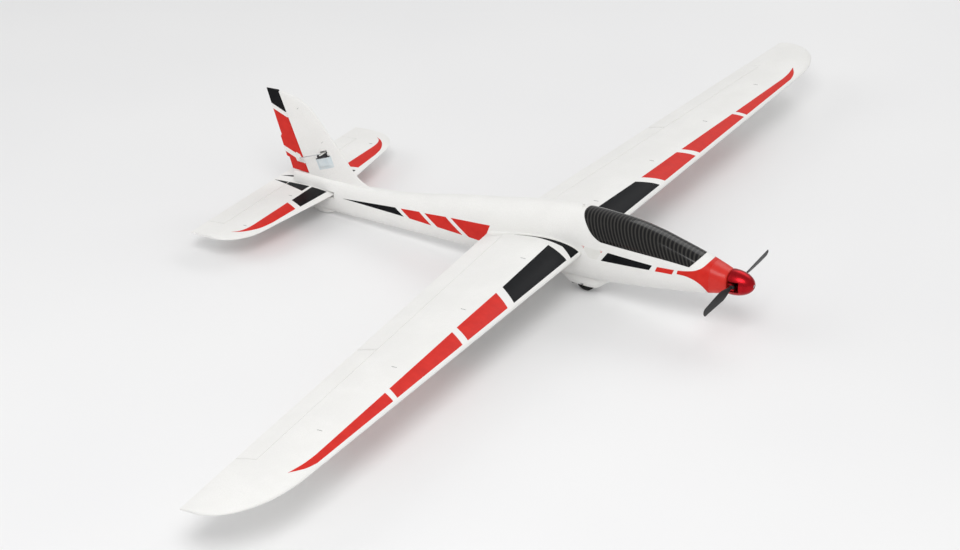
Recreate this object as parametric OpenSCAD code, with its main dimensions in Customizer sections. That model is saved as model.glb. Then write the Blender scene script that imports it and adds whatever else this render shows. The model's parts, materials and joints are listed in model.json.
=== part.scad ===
// Radio-controlled electric sailplane: two glued foam fuselage halves, plug-in wing panels on a
// carbon tube, a screwed-on tailplane, servo-driven surfaces and a folding propeller.
// +X is forward, +Y is port and +Z is up. It stands on its wheel and tail skid on z = 0 with the
// wings level, and the origin is below the middle of its overall length.
// All dimensions in the modules are in the aircraft's own level frame: x from the spar axis,
// z from the wheel's lowest point. stand() then tips the aircraft back onto its tail skid.

/* [Wing] */
// Span from tip to tip
span = 2100; // [2060:10:2140]
// Chord at the root
root_chord = 203; // [199:1:207]
// Chord that the straight taper reaches at the tip
tip_chord = 122; // [116:1:128]
// Section thickness at the root, as a share of the chord
root_thickness = 0.135; // [0.130:0.001:0.140]
// Distance from the centre plane to the wing's root face
root_y = 43; // [42:0.5:45]
// Chord of the flaps and ailerons
flap_chord = 40; // [37:1:43]
// Outer diameter of the carbon spar tube
spar_d = 10.4; // [9.8:0.1:10.6]
// Length of the carbon spar tube
spar_len = 824; // [760:4:840]

/* [Fuselage] */
// Thickness of the foam walls
foam_wall = 7; // [6:0.5:8]
// Radius of the main wheel
wheel_r = 20; // [19:0.5:20.5]
// Width of the tyre
tyre_w = 14; // [12:0.5:14.5]

/* [Tail] */
// Span of the tailplane
tail_span = 547; // [530:1:560]
// Chord of the elevator
elevator_chord = 39; // [36:1:42]
// Angle by which the rudder hinge leans back
rudder_lean = 20.6; // [19.5:0.1:21.5]

/* [Propeller] */
// Diameter of the open propeller
prop_d = 255; // [240:1:260]
// Diameter of the spinner
spinner_d = 47; // [45:0.5:49]

/* [Hidden] */

$fn = 48;
foam = [0.93, 0.92, 0.90];
red = [0.82, 0.15, 0.11];
black = [0.08, 0.08, 0.09];
white = [0.95, 0.95, 0.93];
steel = [0.65, 0.66, 0.68];

// Play between parts that move on each other, and a thin cut that reaches past a face
gap = 0.3;
eps = 0.01;

// Fuselage stations from the tail: x, lowest z, highest z, half width
BODY = [[-598, 47, 103, 6], [-585, 43, 105, 9], [-560, 39, 106, 12], [-500, 36, 105, 16],
    [-408, 36, 104, 20], [-318, 36, 113, 24], [-206, 36, 134, 30], [-130, 36, 146, 35],
    [-18, 34, 165, 40], [67, 33, 171, 42], [116, 35, 170, 41], [165, 40, 166, 40],
    [214, 46, 156.5, 38], [250, 51, 146.5, 35.5], [288, 57, 135, 33], [320, 62.5, 124.5, 29.5],
    [340, 66.5, 117.5, 26], [352, 69.5, 113.2, 22.5], [356, 71.5, 111.5, 20]];
// Fairing around the wheel: x, lowest z, half width
KEEL = [[-26, 34, 5], [8, 28, 11], [32, 14.5, 16], [60, 12, 17], [86, 13, 16.5], [104, 25, 13],
    [124, 36, 6]];
keel_top = 60;
// Edge of the canopy in side view: x and z, from the rear top round the sill to the front tip
CANOPY_SILL = [[66, 172], [74, 162], [82, 153], [90, 144], [99, 136], [112, 129], [125, 127.5],
    [190, 124], [240, 120.5], [288, 115.5], [303, 131]];
// Fin leading edge: z, x
FIN = [[96, -402], [106, -422], [118, -443], [149, -469], [196, -506], [237, -539], [251, -555],
    [260, -572], [265.5, -590], [268, -606]];
// Rudder trailing edge: z, x
RUDDER = [[107.5, -601], [141, -616], [200, -631.5], [240, -641], [269.5, -649.5]];
body_squareness = 2.4;
ring_points = 24;
cowl_x = 326;
nose_x = 356;
seat_step = 15;
seat_half = 9;

shaft_z = 91;
spar_z = 100.5;
wheel_x = 60;
skid_x = -530;
skid_z = 27.2;
rear_x = -649.5;
front_x = 402;
lean = asin((skid_z - 0.02) / (wheel_x - skid_x));

panel_len = span / 2 - root_y;
rib_t = 3;
wing_le_x = 75.5;
wing_le_z = 97;
incidence = 2.1;
camber_h = 0.03;
tip_round = 160;
tip_end = 26;
spar_r = spar_d / 2;
sleeve_r = 6.3;
sleeve_out = 30;
sleeve_in = 60;
te_sweep = atan((root_chord - tip_chord) / panel_len);
flap_from = 6;
flap_to = 472;
aileron_from = 474;
aileron_to = 850;
hinge_below = 1.4;
horn_r = 16;
link_len = 52;
flap_link_y = 123;
aileron_link_y = 620;
rod_r = 0.9;
pin_r = 0.7;
pin_hole_r = 1;
arm_t = 1.6;
rod_z = arm_t + 1.3;
servo_shift = -1.5;

tail_le_x = -496;
tail_te_x = -644;
tail_z = 77;
tail_t = 12.6;
elevator_half = 220;
elevator_axis_z = tail_z + 1.9;
elevator_axis_x = tail_te_x + elevator_chord;
tail_link_r = 14;
elevator_link_y = 29;
elevator_servo_x = -470;
elevator_servo_y = 19.5;
elevator_servo_z = 64;
rudder_axis_x = -560;
rudder_axis_z = 108.8;
rudder_link_s = 31;
rudder_link_len = 54;

blade_pin_y = 18;
// Share of its twist that a blade's section shows fore and aft, so that it folds clear of the cowl
blade_lean = 0.62;
// Share of a blade's length over which its stem widens to the full chord
blade_stem = 0.4;
hub_x = 358.6;
pin_x = 367;

/* Functions */

function mix(a, b, t) = a + (b - a) * t;
function power(v, e) = sign(v) * pow(abs(v), e);
// Index of the table row at or before x
function row(T, x, i = 0) = i >= len(T) - 2 || x < T[i + 1][0] ? i : row(T, x, i + 1);
function slope(T, k, i) =
    let (a = max(i - 1, 0), b = min(i + 1, len(T) - 1)) (T[b][k] - T[a][k]) / (T[b][0] - T[a][0]);
// Column k of a table at x, as a smooth cubic through its rows
function at(T, k, x) =
    let (i = row(T, x), h = T[i + 1][0] - T[i][0], t = (x - T[i][0]) / h)
    T[i][k] * (1 + 2 * t) * pow(1 - t, 2) + T[i + 1][k] * t * t * (3 - 2 * t)
    + h * (slope(T, k, i) * t * pow(1 - t, 2) - slope(T, k, i + 1) * t * t * (1 - t));

// One cross-section of the fuselage, shrunk by inset
function body_ring(x, inset = 0) =
    let (lo = at(BODY, 1, x) + inset, hi = at(BODY, 2, x) - inset, w = at(BODY, 3, x) - inset,
        e = 2 / body_squareness)
    [for (i = [0 : ring_points - 1]) let (a = 360 * i / ring_points)
        [x, w * power(cos(a), e), (lo + hi) / 2 + (hi - lo) / 2 * power(sin(a), e)]];
function keel_ring(x) =
    let (lo = at(KEEL, 1, x), w = at(KEEL, 2, x), n = 20)
    [for (i = [0 : n - 1]) let (a = 360 * i / n)
        [x, w * power(cos(a), 0.7), (lo + keel_top) / 2 + (keel_top - lo) / 2 * power(sin(a), 0.7)]];

function camber(u) = camber_h * (u < 0.4 ? (0.8 * u - u * u) / 0.16 : (0.2 + 0.8 * u - u * u) / 0.36);
function half_thickness(u, t) = 5 * t * (0.2969 * sqrt(u) - 0.126 * u - 0.3516 * u * u
    + 0.2843 * pow(u, 3) - 0.1036 * pow(u, 4));
// Wing planform and section at a distance s from the root face
function taper(s) = mix(root_chord, tip_chord, s / panel_len);
function tip_share(s) = max(0, (s - panel_len + tip_round) / tip_round);
function chord(s) =
    mix(tip_end, taper(s), pow(max(0, 1 - pow(tip_share(s), 2.2)), 0.5));
function te_x(s) = wing_le_x - taper(s);
function le_x(s) = te_x(s) + chord(s);
function thick(s) = mix(root_thickness, 0.112, s / panel_len);
function skin_z(s, x, up) =
    let (c = chord(s), u = min(1, max(0, (le_x(s) - x) / c)))
    wing_le_z - (wing_le_x - x) * sin(incidence)
    + c * camber(u) + up * (c * half_thickness(u, thick(s)) + 0.8 * u);
// Closed outline of the wing section at s, as x and z, from the trailing edge over the top
function section(s, n = 13) =
    let (c = chord(s), le = le_x(s),
        xs = [for (i = [0 : n]) le - c * (1 - cos(180 * i / n)) / 2])
    concat([for (i = [n : -1 : 0]) [xs[i], skin_z(s, xs[i], 1)]],
        [for (i = [1 : n]) [xs[i], skin_z(s, xs[i], -1)]]);
function wing_stations(from) = concat([from, 200, 400, 600, 760],
    [for (a = [0 : 9 : 90]) panel_len - tip_round + tip_round * sin(a)]);

function hinge_x(s) = te_x(s) + flap_chord;
function hinge_z(s) = mix(skin_z(0, hinge_x(0), 1), skin_z(aileron_to, hinge_x(aileron_to), 1),
    s / aileron_to) - hinge_below;
// Height of a servo shaft above or below the hinge: half a case above the bottom skin
function servo_drop(s) = let (x = hinge_x(s) + link_len) hinge_z(s) - skin_z(s, x, -1) - 6.4;
hinge_rise = atan((hinge_z(aileron_to) - hinge_z(0)) / aileron_to * cos(te_sweep));

function tail_le(y) =
    let (r = max(0, (abs(y) - tail_span / 2 + 68) / 68))
    mix(tail_te_x + 57, tail_le_x - 0.137 * abs(y), sqrt(max(0, 1 - pow(r, 2.2))));
function tail_half(u) = half_thickness(u, tail_t / (tail_le_x - tail_te_x));

function rudder_x(z) = rudder_axis_x - (z - rudder_axis_z) * tan(rudder_lean);
function fin_half(z) = mix(7, 4, (z - 100) / 168);

/* Building helpers */

module stand() {
    translate([-(rear_x + front_x) / 2 - 0.6, 0, 0])
        translate([wheel_x, 0, wheel_r]) rotate([0, -lean, 0]) translate([-wheel_x, 0, -wheel_r])
            children();
}

module port(side) {
    mirror([0, side > 0 ? 0 : 1, 0]) children();
}

// Solid through rings with the same number of points, each counterclockwise as seen from the last
module skin(rings) {
    n = len(rings[0]);
    last = (len(rings) - 1) * n;
    sides = [for (i = [0 : len(rings) - 2], j = [0 : n - 1])
        let (a = i * n + j, b = i * n + (j + 1) % n) each [[a, b + n, b], [a, a + n, b + n]]];
    caps = [[for (j = [0 : n - 1]) j], [for (j = [n - 1 : -1 : 0]) last + j]];
    polyhedron([for (r = rings) each r], concat(sides, caps));
}

// Round bar along Y, centred on y
module cross(r, h, x = 0, z = 0, y = 0) {
    translate([x, y, z]) rotate([90, 0, 0]) cylinder(r = r, h = h, center = true);
}

// Extrusion along Y of a side view drawn in x and z
module side_view(y0, y1) {
    translate([0, y1, 0]) rotate([90, 0, 0]) linear_extrude(y1 - y0) children();
}

module half_space(side) {
    port(side) translate([-700, 0, -10]) cube([1200, 120, 320]);
}

/* Fuselage */

function spread(a, b, n) = [for (i = [0 : n]) mix(a, b, i / n)];

module body_loft(a, b, n, inset = 0) {
    skin([for (x = spread(a, b, n)) body_ring(x, inset)]);
}

module fin() {
    lens = [0, 0.04, 0.12, 0.25, 0.45, 0.7, 1];
    skin([for (p = FIN)
        let (z = p[0], le = p[1], te = rudder_x(z) + 0.6, h = fin_half(z))
        concat([for (u = lens) [mix(le, te, u), h * min(1, 1.25 * sqrt(u)) * (1 - 0.3 * u), z]],
            [for (i = [len(lens) - 1 : -1 : 1]) let (u = lens[i])
                [mix(le, te, u), -h * min(1, 1.25 * sqrt(u)) * (1 - 0.3 * u), z]])]);
}

module canopy_region(grow) {
    side_view(-80, 80) offset(delta = grow) polygon(concat(CANOPY_SILL, [[303, 200], [66, 200]]));
}

// Seat of the tailplane, with a tongue that its front notch slides over
module tail_slot() {
    slot_h = 13.2;
    front = tail_le_x - seat_step;
    translate([-660, -40, tail_z - slot_h / 2]) cube([660 + front, 80, slot_h]);
    for (s = [-1, 1])
        port(s) translate([front - 9, seat_half - gap, tail_z - slot_h / 2])
            cube([seat_step + 11, 30, slot_h]);
}

// Space for a servo, with a slot that its arm swings in, open towards y
module servo_bay(depth) {
    translate([-17.3, -6.3, -24.3]) cube([24.6, 6.3 + depth, 24.3]);
    translate([-22, -6.3, -8]) cube([34, 6.3 + depth, 1.6]);
    translate([-9, -6.3, -1]) cube([18, 6.3 + depth, 6.2]);
}

module root_section() {
    polygon(section(0));
}

module shell(side) {
    difference() {
        intersection() {
            union() {
                skin([for (x = concat([-598, -592], spread(-580, cowl_x, 20))) body_ring(x)]);
                skin([for (x = spread(-26, 124, 10)) keel_ring(x)]);
                fin();
                side_view(-6, 6) intersection() {
                    translate([skid_x, skid_z + 40]) circle(r = 40);
                    translate([skid_x - 40, skid_z - 1]) square([80, 24]);
                }
                side_view(-root_y, root_y) root_section();
            }
            half_space(side);
        }
        body_loft(30, cowl_x + 1, 9, foam_wall);
        body_loft(-450, -30, 9, foam_wall);
        canopy_region(0.35);
        cross(r = sleeve_r + 0.1, h = 100, z = spar_z);
        wheel_box(5);
        cross(r = wheel_r + 3, h = 17, x = wheel_x, z = wheel_r);
        tail_slot();
        port(side) side_view(root_y - 2, root_y + 1) root_plate_outline();
        translate([-561, 0, 30]) cylinder(r = 1.5, h = 50);
        translate([-561, 0, 30]) cylinder(r = 3, h = 12);
        at_rudder_servo() mirror([0, 1, 0]) servo_bay(20);
        at_elevator_servo() servo_bay(6.3);
        cross(r = 1.5, h = 60, x = wheel_x, z = wheel_r);
        magnet_places() cylinder(r = 2.5, h = 4);
    }
}

module fuselage_shell_right() {
    color(foam) stand() shell(-1);
}

module fuselage_shell_left() {
    color(foam) stand() shell(1);
}

module nose_cowl() {
    color(red) stand() difference() {
        skin([for (x = [cowl_x + 0.1, 333, 340, 346, 351, 354, nose_x]) body_ring(x)]);
        skin([for (x = [cowl_x, 333, 340, 346, 351, 354]) body_ring(x, 1.8)]);
        translate([340, 0, shaft_z]) rotate([0, 90, 0]) cylinder(r = 9, h = 30);
        for (a = [45 : 90 : 315])
            translate([350, 0, shaft_z]) rotate([a, 0, 0]) translate([0, 13, 0])
                rotate([0, 90, 0]) cylinder(r = 2.6, h = 20);
    }
}

module magnet_places() {
    for (s = [-1, 1]) {
        translate([140, s * 34.5, 123.5]) children();
        translate([236, s * 30.5, 117.5]) children();
    }
}

module fuselage_magnets() {
    color(steel) stand() magnet_places() cylinder(r = 2.5, h = 2.8);
}

module canopy() {
    color(black) stand() difference() {
        intersection() {
            skin([for (x = spread(60, 310, 14)) body_ring(x)]);
            canopy_region(0);
        }
        body_loft(62, 300, 10, 5);
        magnet_places() cylinder(r = 2.5, h = 7.5);
    }
}

module canopy_magnets() {
    color(steel) stand() magnet_places() translate([0, 0, 4.7]) cylinder(r = 2.5, h = 2.8);
}

module motor_mount() {
    color([0.3, 0.3, 0.32]) stand() translate([316, 0, shaft_z]) rotate([0, 90, 0]) difference() {
        cylinder(r = 24.5, h = 3);
        translate([0, 0, -1]) cylinder(r = 4, h = 5);
        for (a = [45 : 90 : 315])
            rotate(a) translate([17, 0, -1]) cylinder(r = 4, h = 5);
    }
}

module motor_stator() {
    color(steel) stand() translate([319, 0, shaft_z]) rotate([0, 90, 0]) difference() {
        union() {
            cylinder(r = 12, h = 4);
            cylinder(r = 6, h = 6);
        }
        translate([0, 0, -1]) cylinder(r = 2.56, h = 9);
    }
}

module motor_rotor() {
    color([0.2, 0.2, 0.22]) stand() translate([325.6, 0, shaft_z]) rotate([0, 90, 0]) {
        difference() {
            cylinder(r = 14, h = 25);
            for (a = [0 : 60 : 300])
                rotate(a) translate([9, 0, 22]) cylinder(r = 2.2, h = 4);
        }
        translate([0, 0, -6]) cylinder(r = 2.5, h = 54);
    }
}

module battery_tray() {
    color([0.72, 0.58, 0.4]) stand() difference() {
        union() {
            translate([0, 0, 72]) linear_extrude(3)
                polygon([[92, -34], [238, -28.5], [238, 28.5], [92, 34]]);
            translate([108, -18, 74]) cube([110, 36, 2.5]);
        }
        for (x = [122, 192], y = [-24, 20])
            translate([x, y, 71]) cube([16, 4, 5]);
    }
}

module speed_controller() {
    color([0.15, 0.2, 0.45]) stand() translate([246, -14, 76]) {
        cube([52, 28, 9]);
        translate([8, 4, 9]) cube([34, 20, 3]);
    }
}

module root_plate_outline() {
    intersection() {
        root_section();
        translate([-79, 60]) square([200, 80]);
    }
}

module root_plate(side) {
    port(side) difference() {
        side_view(root_y - 2, root_y) root_plate_outline();
        cross(r = sleeve_r + 0.1, h = 100, z = spar_z, y = root_y);
        translate([-31, root_y - 5, 90]) cube([17, 10, 16]);
    }
}

module wing_root_plate_right() {
    color(white) stand() root_plate(-1);
}

module wing_root_plate_left() {
    color(white) stand() root_plate(1);
}

module wing_sockets() {
    color([0.1, 0.45, 0.3]) stand() for (s = [-1, 1])
        port(s) translate([-30.5, root_y - 2, 90.5]) difference() {
            cube([16, 1.8, 15]);
            for (z = [3, 7.5, 12], x = [4, 8, 12])
                translate([x, 3, z]) rotate([90, 0, 0]) cylinder(r = 0.9, h = 2.2);
        }
}

module wheel_box(bottom) {
    translate([wheel_x - 25, -10, bottom]) cube([50, 20, 46.5 - bottom]);
}

module wheel_bracket() {
    color(black) stand() difference() {
        wheel_box(14);
        cross(r = wheel_r + 3, h = 17, x = wheel_x, z = wheel_r);
        cross(r = 1.5, h = 40, x = wheel_x, z = wheel_r);
    }
}

module wheel_axle() {
    color(steel) stand() {
        cross(r = 1.5, h = 33, x = wheel_x, z = wheel_r);
    }
}

module wheel_hub() {
    color(black) stand() difference() {
        union() {
            cross(r = 11, h = 9, x = wheel_x, z = wheel_r);
            cross(r = 4, h = 15, x = wheel_x, z = wheel_r);
        }
        cross(r = 1.56, h = 20, x = wheel_x, z = wheel_r);
        for (a = [0 : 72 : 288])
            translate([wheel_x, 0, wheel_r]) rotate([0, a, 0]) translate([7.4, 0, 0])
                cross(r = 1.8, h = 20);
    }
}

module tyre() {
    color(black) stand() translate([wheel_x, 0, wheel_r]) rotate([90, 0, 0])
        rotate_extrude($fn = 64) intersection() {
            translate([wheel_r - tyre_w / 2, 0]) circle(r = tyre_w / 2);
            translate([11, -10]) square([20, 20]);
        }
}

module spar_tube() {
    color(black) stand() difference() {
        cross(r = spar_r, h = spar_len, z = spar_z);
        cross(r = spar_r - 1, h = spar_len + 2, z = spar_z);
    }
}

/* Tail */

module tail_loft() {
    us = [for (i = [0 : 9]) (1 - cos(20 * i)) / 2];
    half = tail_span / 2;
    ys = [for (a = [-90 : 10 : -50]) half * sin(a), for (y = [-200, -100, 0, 100, 200]) y,
        for (a = [50 : 10 : 90]) half * sin(a)];
    skin([for (y = ys)
        let (le = tail_le(y), c = le - tail_te_x)
        concat([for (u = us) [le - u * c, y, tail_z - c * tail_half(u) - 0.7 * u]],
            [for (i = [len(us) - 1 : -1 : 1]) let (u = us[i])
                [le - u * c, y, tail_z + c * tail_half(u) + 0.7 * u]])]);
}

module at_elevator_hinge() {
    translate([elevator_axis_x, 0, elevator_axis_z]) rotate([-90, 0, 0]) children();
}

// Control surface outline behind its hinge: x forward, y down, bevelled so that it can turn
module surface_wedge(up, down, reach = 70) {
    polygon([[0, 0], [-20 * tan(up), -20], [-reach, -20], [-reach, 20], [-20 * tan(down), 20]]);
}

module tailplane() {
    color(foam) stand() difference() {
        tail_loft();
        at_elevator_hinge() translate([-60, -20, -elevator_half - 0.6])
            cube([60.5, 40, 2 * elevator_half + 1.2]);
        translate([tail_le_x - seat_step, -seat_half, 60]) cube([30, 2 * seat_half, 30]);
        translate([-561, 0, 60]) cylinder(r = 1.5, h = 17);
    }
}

module elevator() {
    color(foam) stand() intersection() {
        tail_loft();
        at_elevator_hinge() translate([0, 0, -elevator_half])
            linear_extrude(2 * elevator_half) surface_wedge(22, 32);
    }
}

module tailplane_screw() {
    color(steel) stand() translate([-561, 0, 38.6]) difference() {
        union() {
            cylinder(r = 3, h = 3.4);
            cylinder(r = 1.5, h = 38);
        }
        translate([-2.2, -0.4, -eps]) cube([4.4, 0.8, 1.4]);
    }
}

module at_rudder(s) {
    translate([rudder_axis_x, 0, rudder_axis_z]) rotate([0, -rudder_lean, 0])
        translate([0, 0, s]) children();
}

module rudder() {
    color(foam) stand() skin([for (p = RUDDER)
        let (z = p[0], te = p[1], ax = rudder_x(z), h = 0.7 * fin_half(z), v = h * tan(34))
        [[ax, 0, z], [ax - v, h, z], [te, 1, z], [te, -1, z], [ax - v, -h, z]]]);
}

// Flat lever in the plane across its shaft, from the shaft to a pin hole at length r
module lever(r, wide, tip) {
    difference() {
        linear_extrude(arm_t) hull() {
            circle(r = wide, $fn = 32);
            translate([0, r]) circle(r = tip, $fn = 32);
        }
        translate([0, r, -1]) cylinder(r = pin_hole_r, h = 4);
    }
}

// Horn: a triangular blade, rooted in the surface behind the hinge, with its hole r from it
module horn(r, root) {
    difference() {
        linear_extrude(arm_t) polygon([[-6.5, root], [-18, root - 1], [-6, r + 0.5],
            [-1.5, r + 2.6], [1.6, r + 2.2], [2.3, r - 0.2], [1.2, r - 2.6], [-1, r - 4.8],
            [-4.2, r - 7.4]]);
        translate([0, r, -1]) cylinder(r = pin_hole_r, h = 4);
    }
}

// Link wire beside the levers, with a pin at each end through their holes
module link(from, to) {
    hull() {
        translate(from) sphere(r = rod_r, $fn = 16);
        translate(to) sphere(r = rod_r, $fn = 16);
    }
    for (p = [from, to])
        translate(p) translate([0, 0, -3.1]) cylinder(r = pin_r, h = 3.1);
}

// Servo lying on its side: shaft along z out of the face at z = 0, arm towards y
module servo() {
    translate([-17, -6, -24]) cube([24, 12, 23.4]);
    translate([-22, -6, -8]) cube([34, 12, 1.6]);
    translate([0, 0, -0.7]) cylinder(r = 2.4, h = 0.6);
}

module at_rudder_servo() {
    at_rudder(rudder_link_s) translate([rudder_link_len, servo_shift, 0]) children();
}

module at_elevator_servo() {
    translate([elevator_servo_x, elevator_servo_y, elevator_servo_z]) rotate([-90, 0, 0]) children();
}

module rudder_servo() {
    color(black) stand() at_rudder_servo() servo();
}

module elevator_servo() {
    color(black) stand() at_elevator_servo() servo();
}

module rudder_horn() {
    color(white) stand() at_rudder(rudder_link_s) mirror([0, 1, 0]) horn(tail_link_r, 2.5);
}

module rudder_arm() {
    color(white) stand() at_rudder_servo() mirror([0, 1, 0]) lever(tail_link_r, 3, 2.4);
}

module rudder_rod() {
    color(steel) stand() at_rudder(rudder_link_s) mirror([0, 1, 0])
        link([0, tail_link_r, rod_z], [rudder_link_len, tail_link_r - servo_shift, rod_z]);
}

module elevator_horn() {
    color(white) stand() at_elevator_hinge() translate([0, 0, elevator_link_y])
        horn(tail_link_r, 3);
}

module elevator_arm() {
    color(white) stand() at_elevator_servo() lever(tail_link_r, 3, 2.4);
}

module elevator_rod() {
    color(steel) stand() at_elevator_hinge() translate([0, tail_link_r, 0])
        link([0, 0, elevator_link_y + rod_z], [elevator_servo_x - elevator_axis_x,
            elevator_axis_z - elevator_servo_z, elevator_servo_y + rod_z]);
}

/* Wing */

// Slot in the lower skin ahead of the hinge, for a horn to swing forward in
module horn_slot() {
    side_play = 0.8;
    translate([-1, 6.5, -side_play]) cube([13.5, 20, arm_t + 2 * side_play]);
}

// Frame on the flap and aileron hinge: z outboard along it, x forward, y down
module at_wing_hinge(s) {
    translate([hinge_x(s), root_y + s, hinge_z(s)]) rotate([hinge_rise, 0, -te_sweep])
        rotate([-90, 0, 0]) children();
}

module at_wing_servo(s) {
    at_wing_hinge(s) translate([link_len, servo_drop(s), 0]) children();
}

module wing_loft() {
    skin([for (s = wing_stations(gap + rib_t)) [for (p = section(s)) [p[0], root_y + s, p[1]]]]);
}

module surface_cut(from, to) {
    at_wing_hinge(from) translate([-70, -20, 0]) cube([70.5, 40, (to - from) / cos(te_sweep)]);
}

module control_panel(side, from, to, down) {
    color(foam) stand() port(side) intersection() {
        wing_loft();
        at_wing_hinge(from + 1) linear_extrude((to - from - 2) / cos(te_sweep))
            surface_wedge(22, down);
    }
}

module wing_panel(side) {
    color(foam) stand() port(side) difference() {
        wing_loft();
        surface_cut(flap_from, flap_to);
        surface_cut(aileron_from, aileron_to);
        cross(r = spar_r + 0.2, h = spar_len + 12, z = spar_z);
        cross(r = sleeve_r, h = 2 * (root_y + sleeve_in), z = spar_z);
        for (s = [flap_link_y, aileron_link_y])
            at_wing_servo(s) servo_bay(20);
        at_wing_hinge(flap_link_y) horn_slot();
    }
}

module wing_panel_right() {
    wing_panel(-1);
}

module wing_panel_left() {
    wing_panel(1);
}

// Root rib and the sleeve that plugs into the fuselage, moulded in one piece
module wing_rib(side) {
    color(white) stand() port(side) difference() {
        union() {
            side_view(root_y + gap, root_y + gap + rib_t) root_section();
            cross(r = sleeve_r, h = sleeve_out + sleeve_in, z = spar_z,
                y = root_y + (sleeve_in - sleeve_out) / 2);
        }
        cross(r = spar_r + 0.1, h = 300, z = spar_z);
        for (x = [46, -84])
            cross(r = 1.6, h = 100, x = x, z = x > 0 ? 101 : 97, y = root_y);
    }
}

module wing_rib_right() {
    wing_rib(-1);
}

module wing_rib_left() {
    wing_rib(1);
}

module wing_servos(side) {
    color(black) stand() port(side)
        for (s = [flap_link_y, aileron_link_y])
            at_wing_servo(s) servo();
}

module wing_servos_right() {
    wing_servos(-1);
}

module wing_servos_left() {
    wing_servos(1);
}

module flap_right() {
    control_panel(-1, flap_from, flap_to, 34);
}

module flap_left() {
    control_panel(1, flap_from, flap_to, 34);
}

module aileron_right() {
    control_panel(-1, aileron_from, aileron_to, 30);
}

module aileron_left() {
    control_panel(1, aileron_from, aileron_to, 30);
}

module wing_horn(side, s) {
    color(white) stand() port(side) at_wing_hinge(s) horn(horn_r, 5);
}

module wing_arm(side, s) {
    color(white) stand() port(side) at_wing_servo(s) lever(horn_r, 3, 2.4);
}

module wing_rod(side, s) {
    color(steel) stand() port(side) at_wing_hinge(s)
        link([0, horn_r, rod_z], [link_len, horn_r + servo_drop(s), rod_z]);
}

module flap_horn_right() {
    wing_horn(-1, flap_link_y);
}

module flap_horn_left() {
    wing_horn(1, flap_link_y);
}

module aileron_horn_right() {
    wing_horn(-1, aileron_link_y);
}

module aileron_horn_left() {
    wing_horn(1, aileron_link_y);
}

module flap_arm_right() {
    wing_arm(-1, flap_link_y);
}

module flap_arm_left() {
    wing_arm(1, flap_link_y);
}

module aileron_arm_right() {
    wing_arm(-1, aileron_link_y);
}

module aileron_arm_left() {
    wing_arm(1, aileron_link_y);
}

module flap_rod_right() {
    wing_rod(-1, flap_link_y);
}

module flap_rod_left() {
    wing_rod(1, flap_link_y);
}

module aileron_rod_right() {
    wing_rod(-1, aileron_link_y);
}

module aileron_rod_left() {
    wing_rod(1, aileron_link_y);
}

/* Propeller */

module prop_hub() {
    color(red) stand() difference() {
        union() {
            translate([hub_x, 0, shaft_z]) rotate([0, 90, 0]) cylinder(r = spinner_d / 2, h = 3);
            translate([hub_x, -blade_pin_y - 4, shaft_z - 6.5])
                cube([13.4, 2 * blade_pin_y + 8, 13]);
        }
        translate([hub_x - 1, 0, shaft_z]) rotate([0, 90, 0]) cylinder(r = 2.5, h = 20);
        for (s = [-1, 1]) {
            port(s) translate([hub_x - 1, blade_pin_y - 6.4, shaft_z - 3.6]) cube([20, 20, 7.2]);
            port(s) translate([hub_x - 1, blade_pin_y - 6.4, shaft_z - 11]) cube([4.2, 20, 22]);
        }
        for (s = [-1, 1]) {
            translate([pin_x, s * blade_pin_y, shaft_z - 10]) cylinder(r = 1.5, h = 20);
            for (a = [s * 52, s * 90, s * 128])
                translate([hub_x - 1, 0, shaft_z]) rotate([a, 0, 0]) translate([0, 15.5, 0])
                    rotate([0, 90, 0]) cylinder(r = 3.1, h = 5);
        }
    }
}

module blade_pins() {
    color(steel) stand() for (s = [-1, 1])
        translate([pin_x, s * blade_pin_y, shaft_z - 6.5]) cylinder(r = 1.5, h = 13);
}

module spinner() {
    r = spinner_d / 2;
    tip = front_x - hub_x - 3;
    cone = [for (a = [0 : 7.5 : 90]) [r * cos(a), tip * pow(sin(a), 0.93)]];
    color(red) stand() difference() {
        translate([hub_x + 3, 0, shaft_z]) rotate([0, 90, 0]) rotate_extrude() difference() {
            polygon(concat([[0, 0]], cone));
            polygon(concat([[0, -1]], [for (p = cone) [max(0, p[0] - 1.4), p[1] - 1.6]]));
        }
        for (s = [-1, 1])
            port(s) translate([0, 0, shaft_z - 10]) linear_extrude(20)
                polygon([[hub_x, 10], [hub_x + 20, 10], [hub_x + 26, 60], [hub_x, 60]]);
        translate([hub_x, 0, shaft_z]) rotate([0, 90, 0]) cylinder(r = 1.5, h = 80);
        translate([front_x - 3, 0, shaft_z]) rotate([0, 90, 0]) cylinder(r = 3.4, h = 8);
    }
}

module spinner_screw() {
    color(steel) stand() translate([front_x - 4.6, 0, shaft_z]) rotate([0, 90, 0]) difference() {
        union() {
            translate([0, 0, -23.8]) cylinder(r = 1.5, h = 25);
            translate([0, 0, 1.6]) cylinder(r = 2.8, h = 2.2);
            cylinder(r = 1.5, h = 3);
        }
        translate([0, 0, 2.2]) cylinder(r = 1.2, h = 3, $fn = 6);
    }
}

// Half the chord of a blade, from its stem at t = 0 to its tip at t = 1
function blade_half_chord(t) =
    let (g = min(1, t / blade_stem)) mix(3.4, mix(11.2, 6.5, t), g * g * (3 - 2 * g));

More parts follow.
